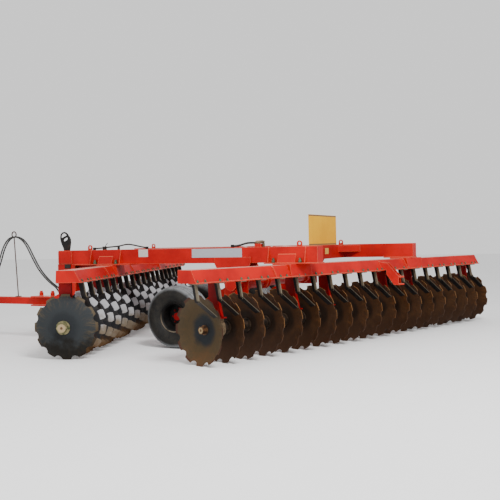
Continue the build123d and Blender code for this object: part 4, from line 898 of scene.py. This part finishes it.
# Two hoses over the drawbar, side by side on the route of the solids, as (x, z)
HOSE_R = 0.012
HOSE_Y = 0.024
HOSE_ROUTE = (
    (2.870, 0.077), (2.820, 0.195), (2.645, 0.292), (2.440, 0.475), (2.300, 0.685),
    (2.165, 0.915), (2.040, 1.020), (1.900, 1.048), (1.775, 1.008), (1.655, 0.860),
    (1.560, 0.605), (1.440, 0.380), (1.290, 0.210), (1.120, 0.132), (0.975, 0.108),
)


def hose(name, route, radius, body, solid):
    """Smooth round hose whose control points are the route's."""
    data = bpy.data.curves.new(name, "CURVE")
    data.dimensions = "3D"
    data.bevel_depth = radius
    data.bevel_resolution = 4
    data.resolution_u = 8
    data.use_fill_caps = True
    spline = data.splines.new("NURBS")
    spline.points.add(len(route) - 1)
    for point, place in zip(spline.points, route):
        point.co = (*place, 1)
    spline.order_u = 3
    spline.use_endpoint_u = True
    obj = bpy.data.objects.new(name, data)
    bpy.context.scene.collection.objects.link(obj)
    data.materials.append(HOSE)
    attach(obj, body)
    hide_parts(solid)
    return obj


for name, y in (("near", -HOSE_Y), ("far", HOSE_Y)):
    route = [(x, y, z) for x, z in HOSE_ROUTE]
    obj = hose(f"{name}_hydraulic_hose", route, HOSE_R, "drawbar", f"{name}_hose")

# Hoses on top of the near beam: solid, radius, length, and the route as (x, height over the beam)
TOP_HOSES = (
    ("beam_hose", 0.011, 0.998, (
        (3.538, 0.020), (3.690, 0.027), (3.850, 0.042), (4.010, 0.050),
        (4.165, 0.082), (4.300, 0.062), (4.415, 0.036), (4.528, 0.020),
    )),
    ("valve_hose", 0.014, 0.382, (
        (5.968, 0.017), (6.070, 0.022), (6.180, 0.056), (6.270, 0.062), (6.345, 0.058),
    )),
)
for solid, radius, length, points in TOP_HOSES:
    route = [(x, 0.0, MAIN_TOP + z) for x, z in points]
    obj = hose(f"top_{solid}", route, radius, "frame", solid)

# Floor, light and world
FLOOR_HALF = 60
SKY_STRENGTH = 1.05
floor_data = bpy.data.meshes.new("floor")
floor_corners = facing_up(-FLOOR_HALF, FLOOR_HALF, -FLOOR_HALF, FLOOR_HALF, GROUND)
floor_data.from_pydata(floor_corners, [], [(0, 1, 2, 3)])
floor = bpy.data.objects.new("floor", floor_data)
bpy.context.scene.collection.objects.link(floor)
pale, tree, coords, shader = start("pale_floor", 0.9)
soft = span(tree, noise(tree, coords, 0.6, 3), 0.3, 0.7)
tree.links.new(mix(tree, soft, (0.86, 0.86, 0.86), (0.88, 0.88, 0.88)), shader.inputs["Base Color"])
floor_data.materials.append(pale)

world = bpy.data.worlds.new("studio")
world.use_nodes = True
world.node_tree.nodes["Background"].inputs[0].default_value = (1, 1, 1, 1)
world.node_tree.nodes["Background"].inputs[1].default_value = SKY_STRENGTH
bpy.context.scene.world = world


def lamp(name, place, target, power, width):
    data = bpy.data.lights.new(name, "AREA")
    data.energy = power
    data.shape = "DISK"
    data.size = width
    obj = bpy.data.objects.new(name, data)
    bpy.context.scene.collection.objects.link(obj)
    obj.matrix_world = frame_at(Vector(place), Vector(place) - Vector(target))


lamp("key", place=(12.5, -6.0, 9.0), target=(5.5, 0.8, 0.3), power=1700, width=3.5)
lamp("fill", place=(3.0, -12.0, 4.5), target=(5.0, 0.5, 0.0), power=250, width=5.0)
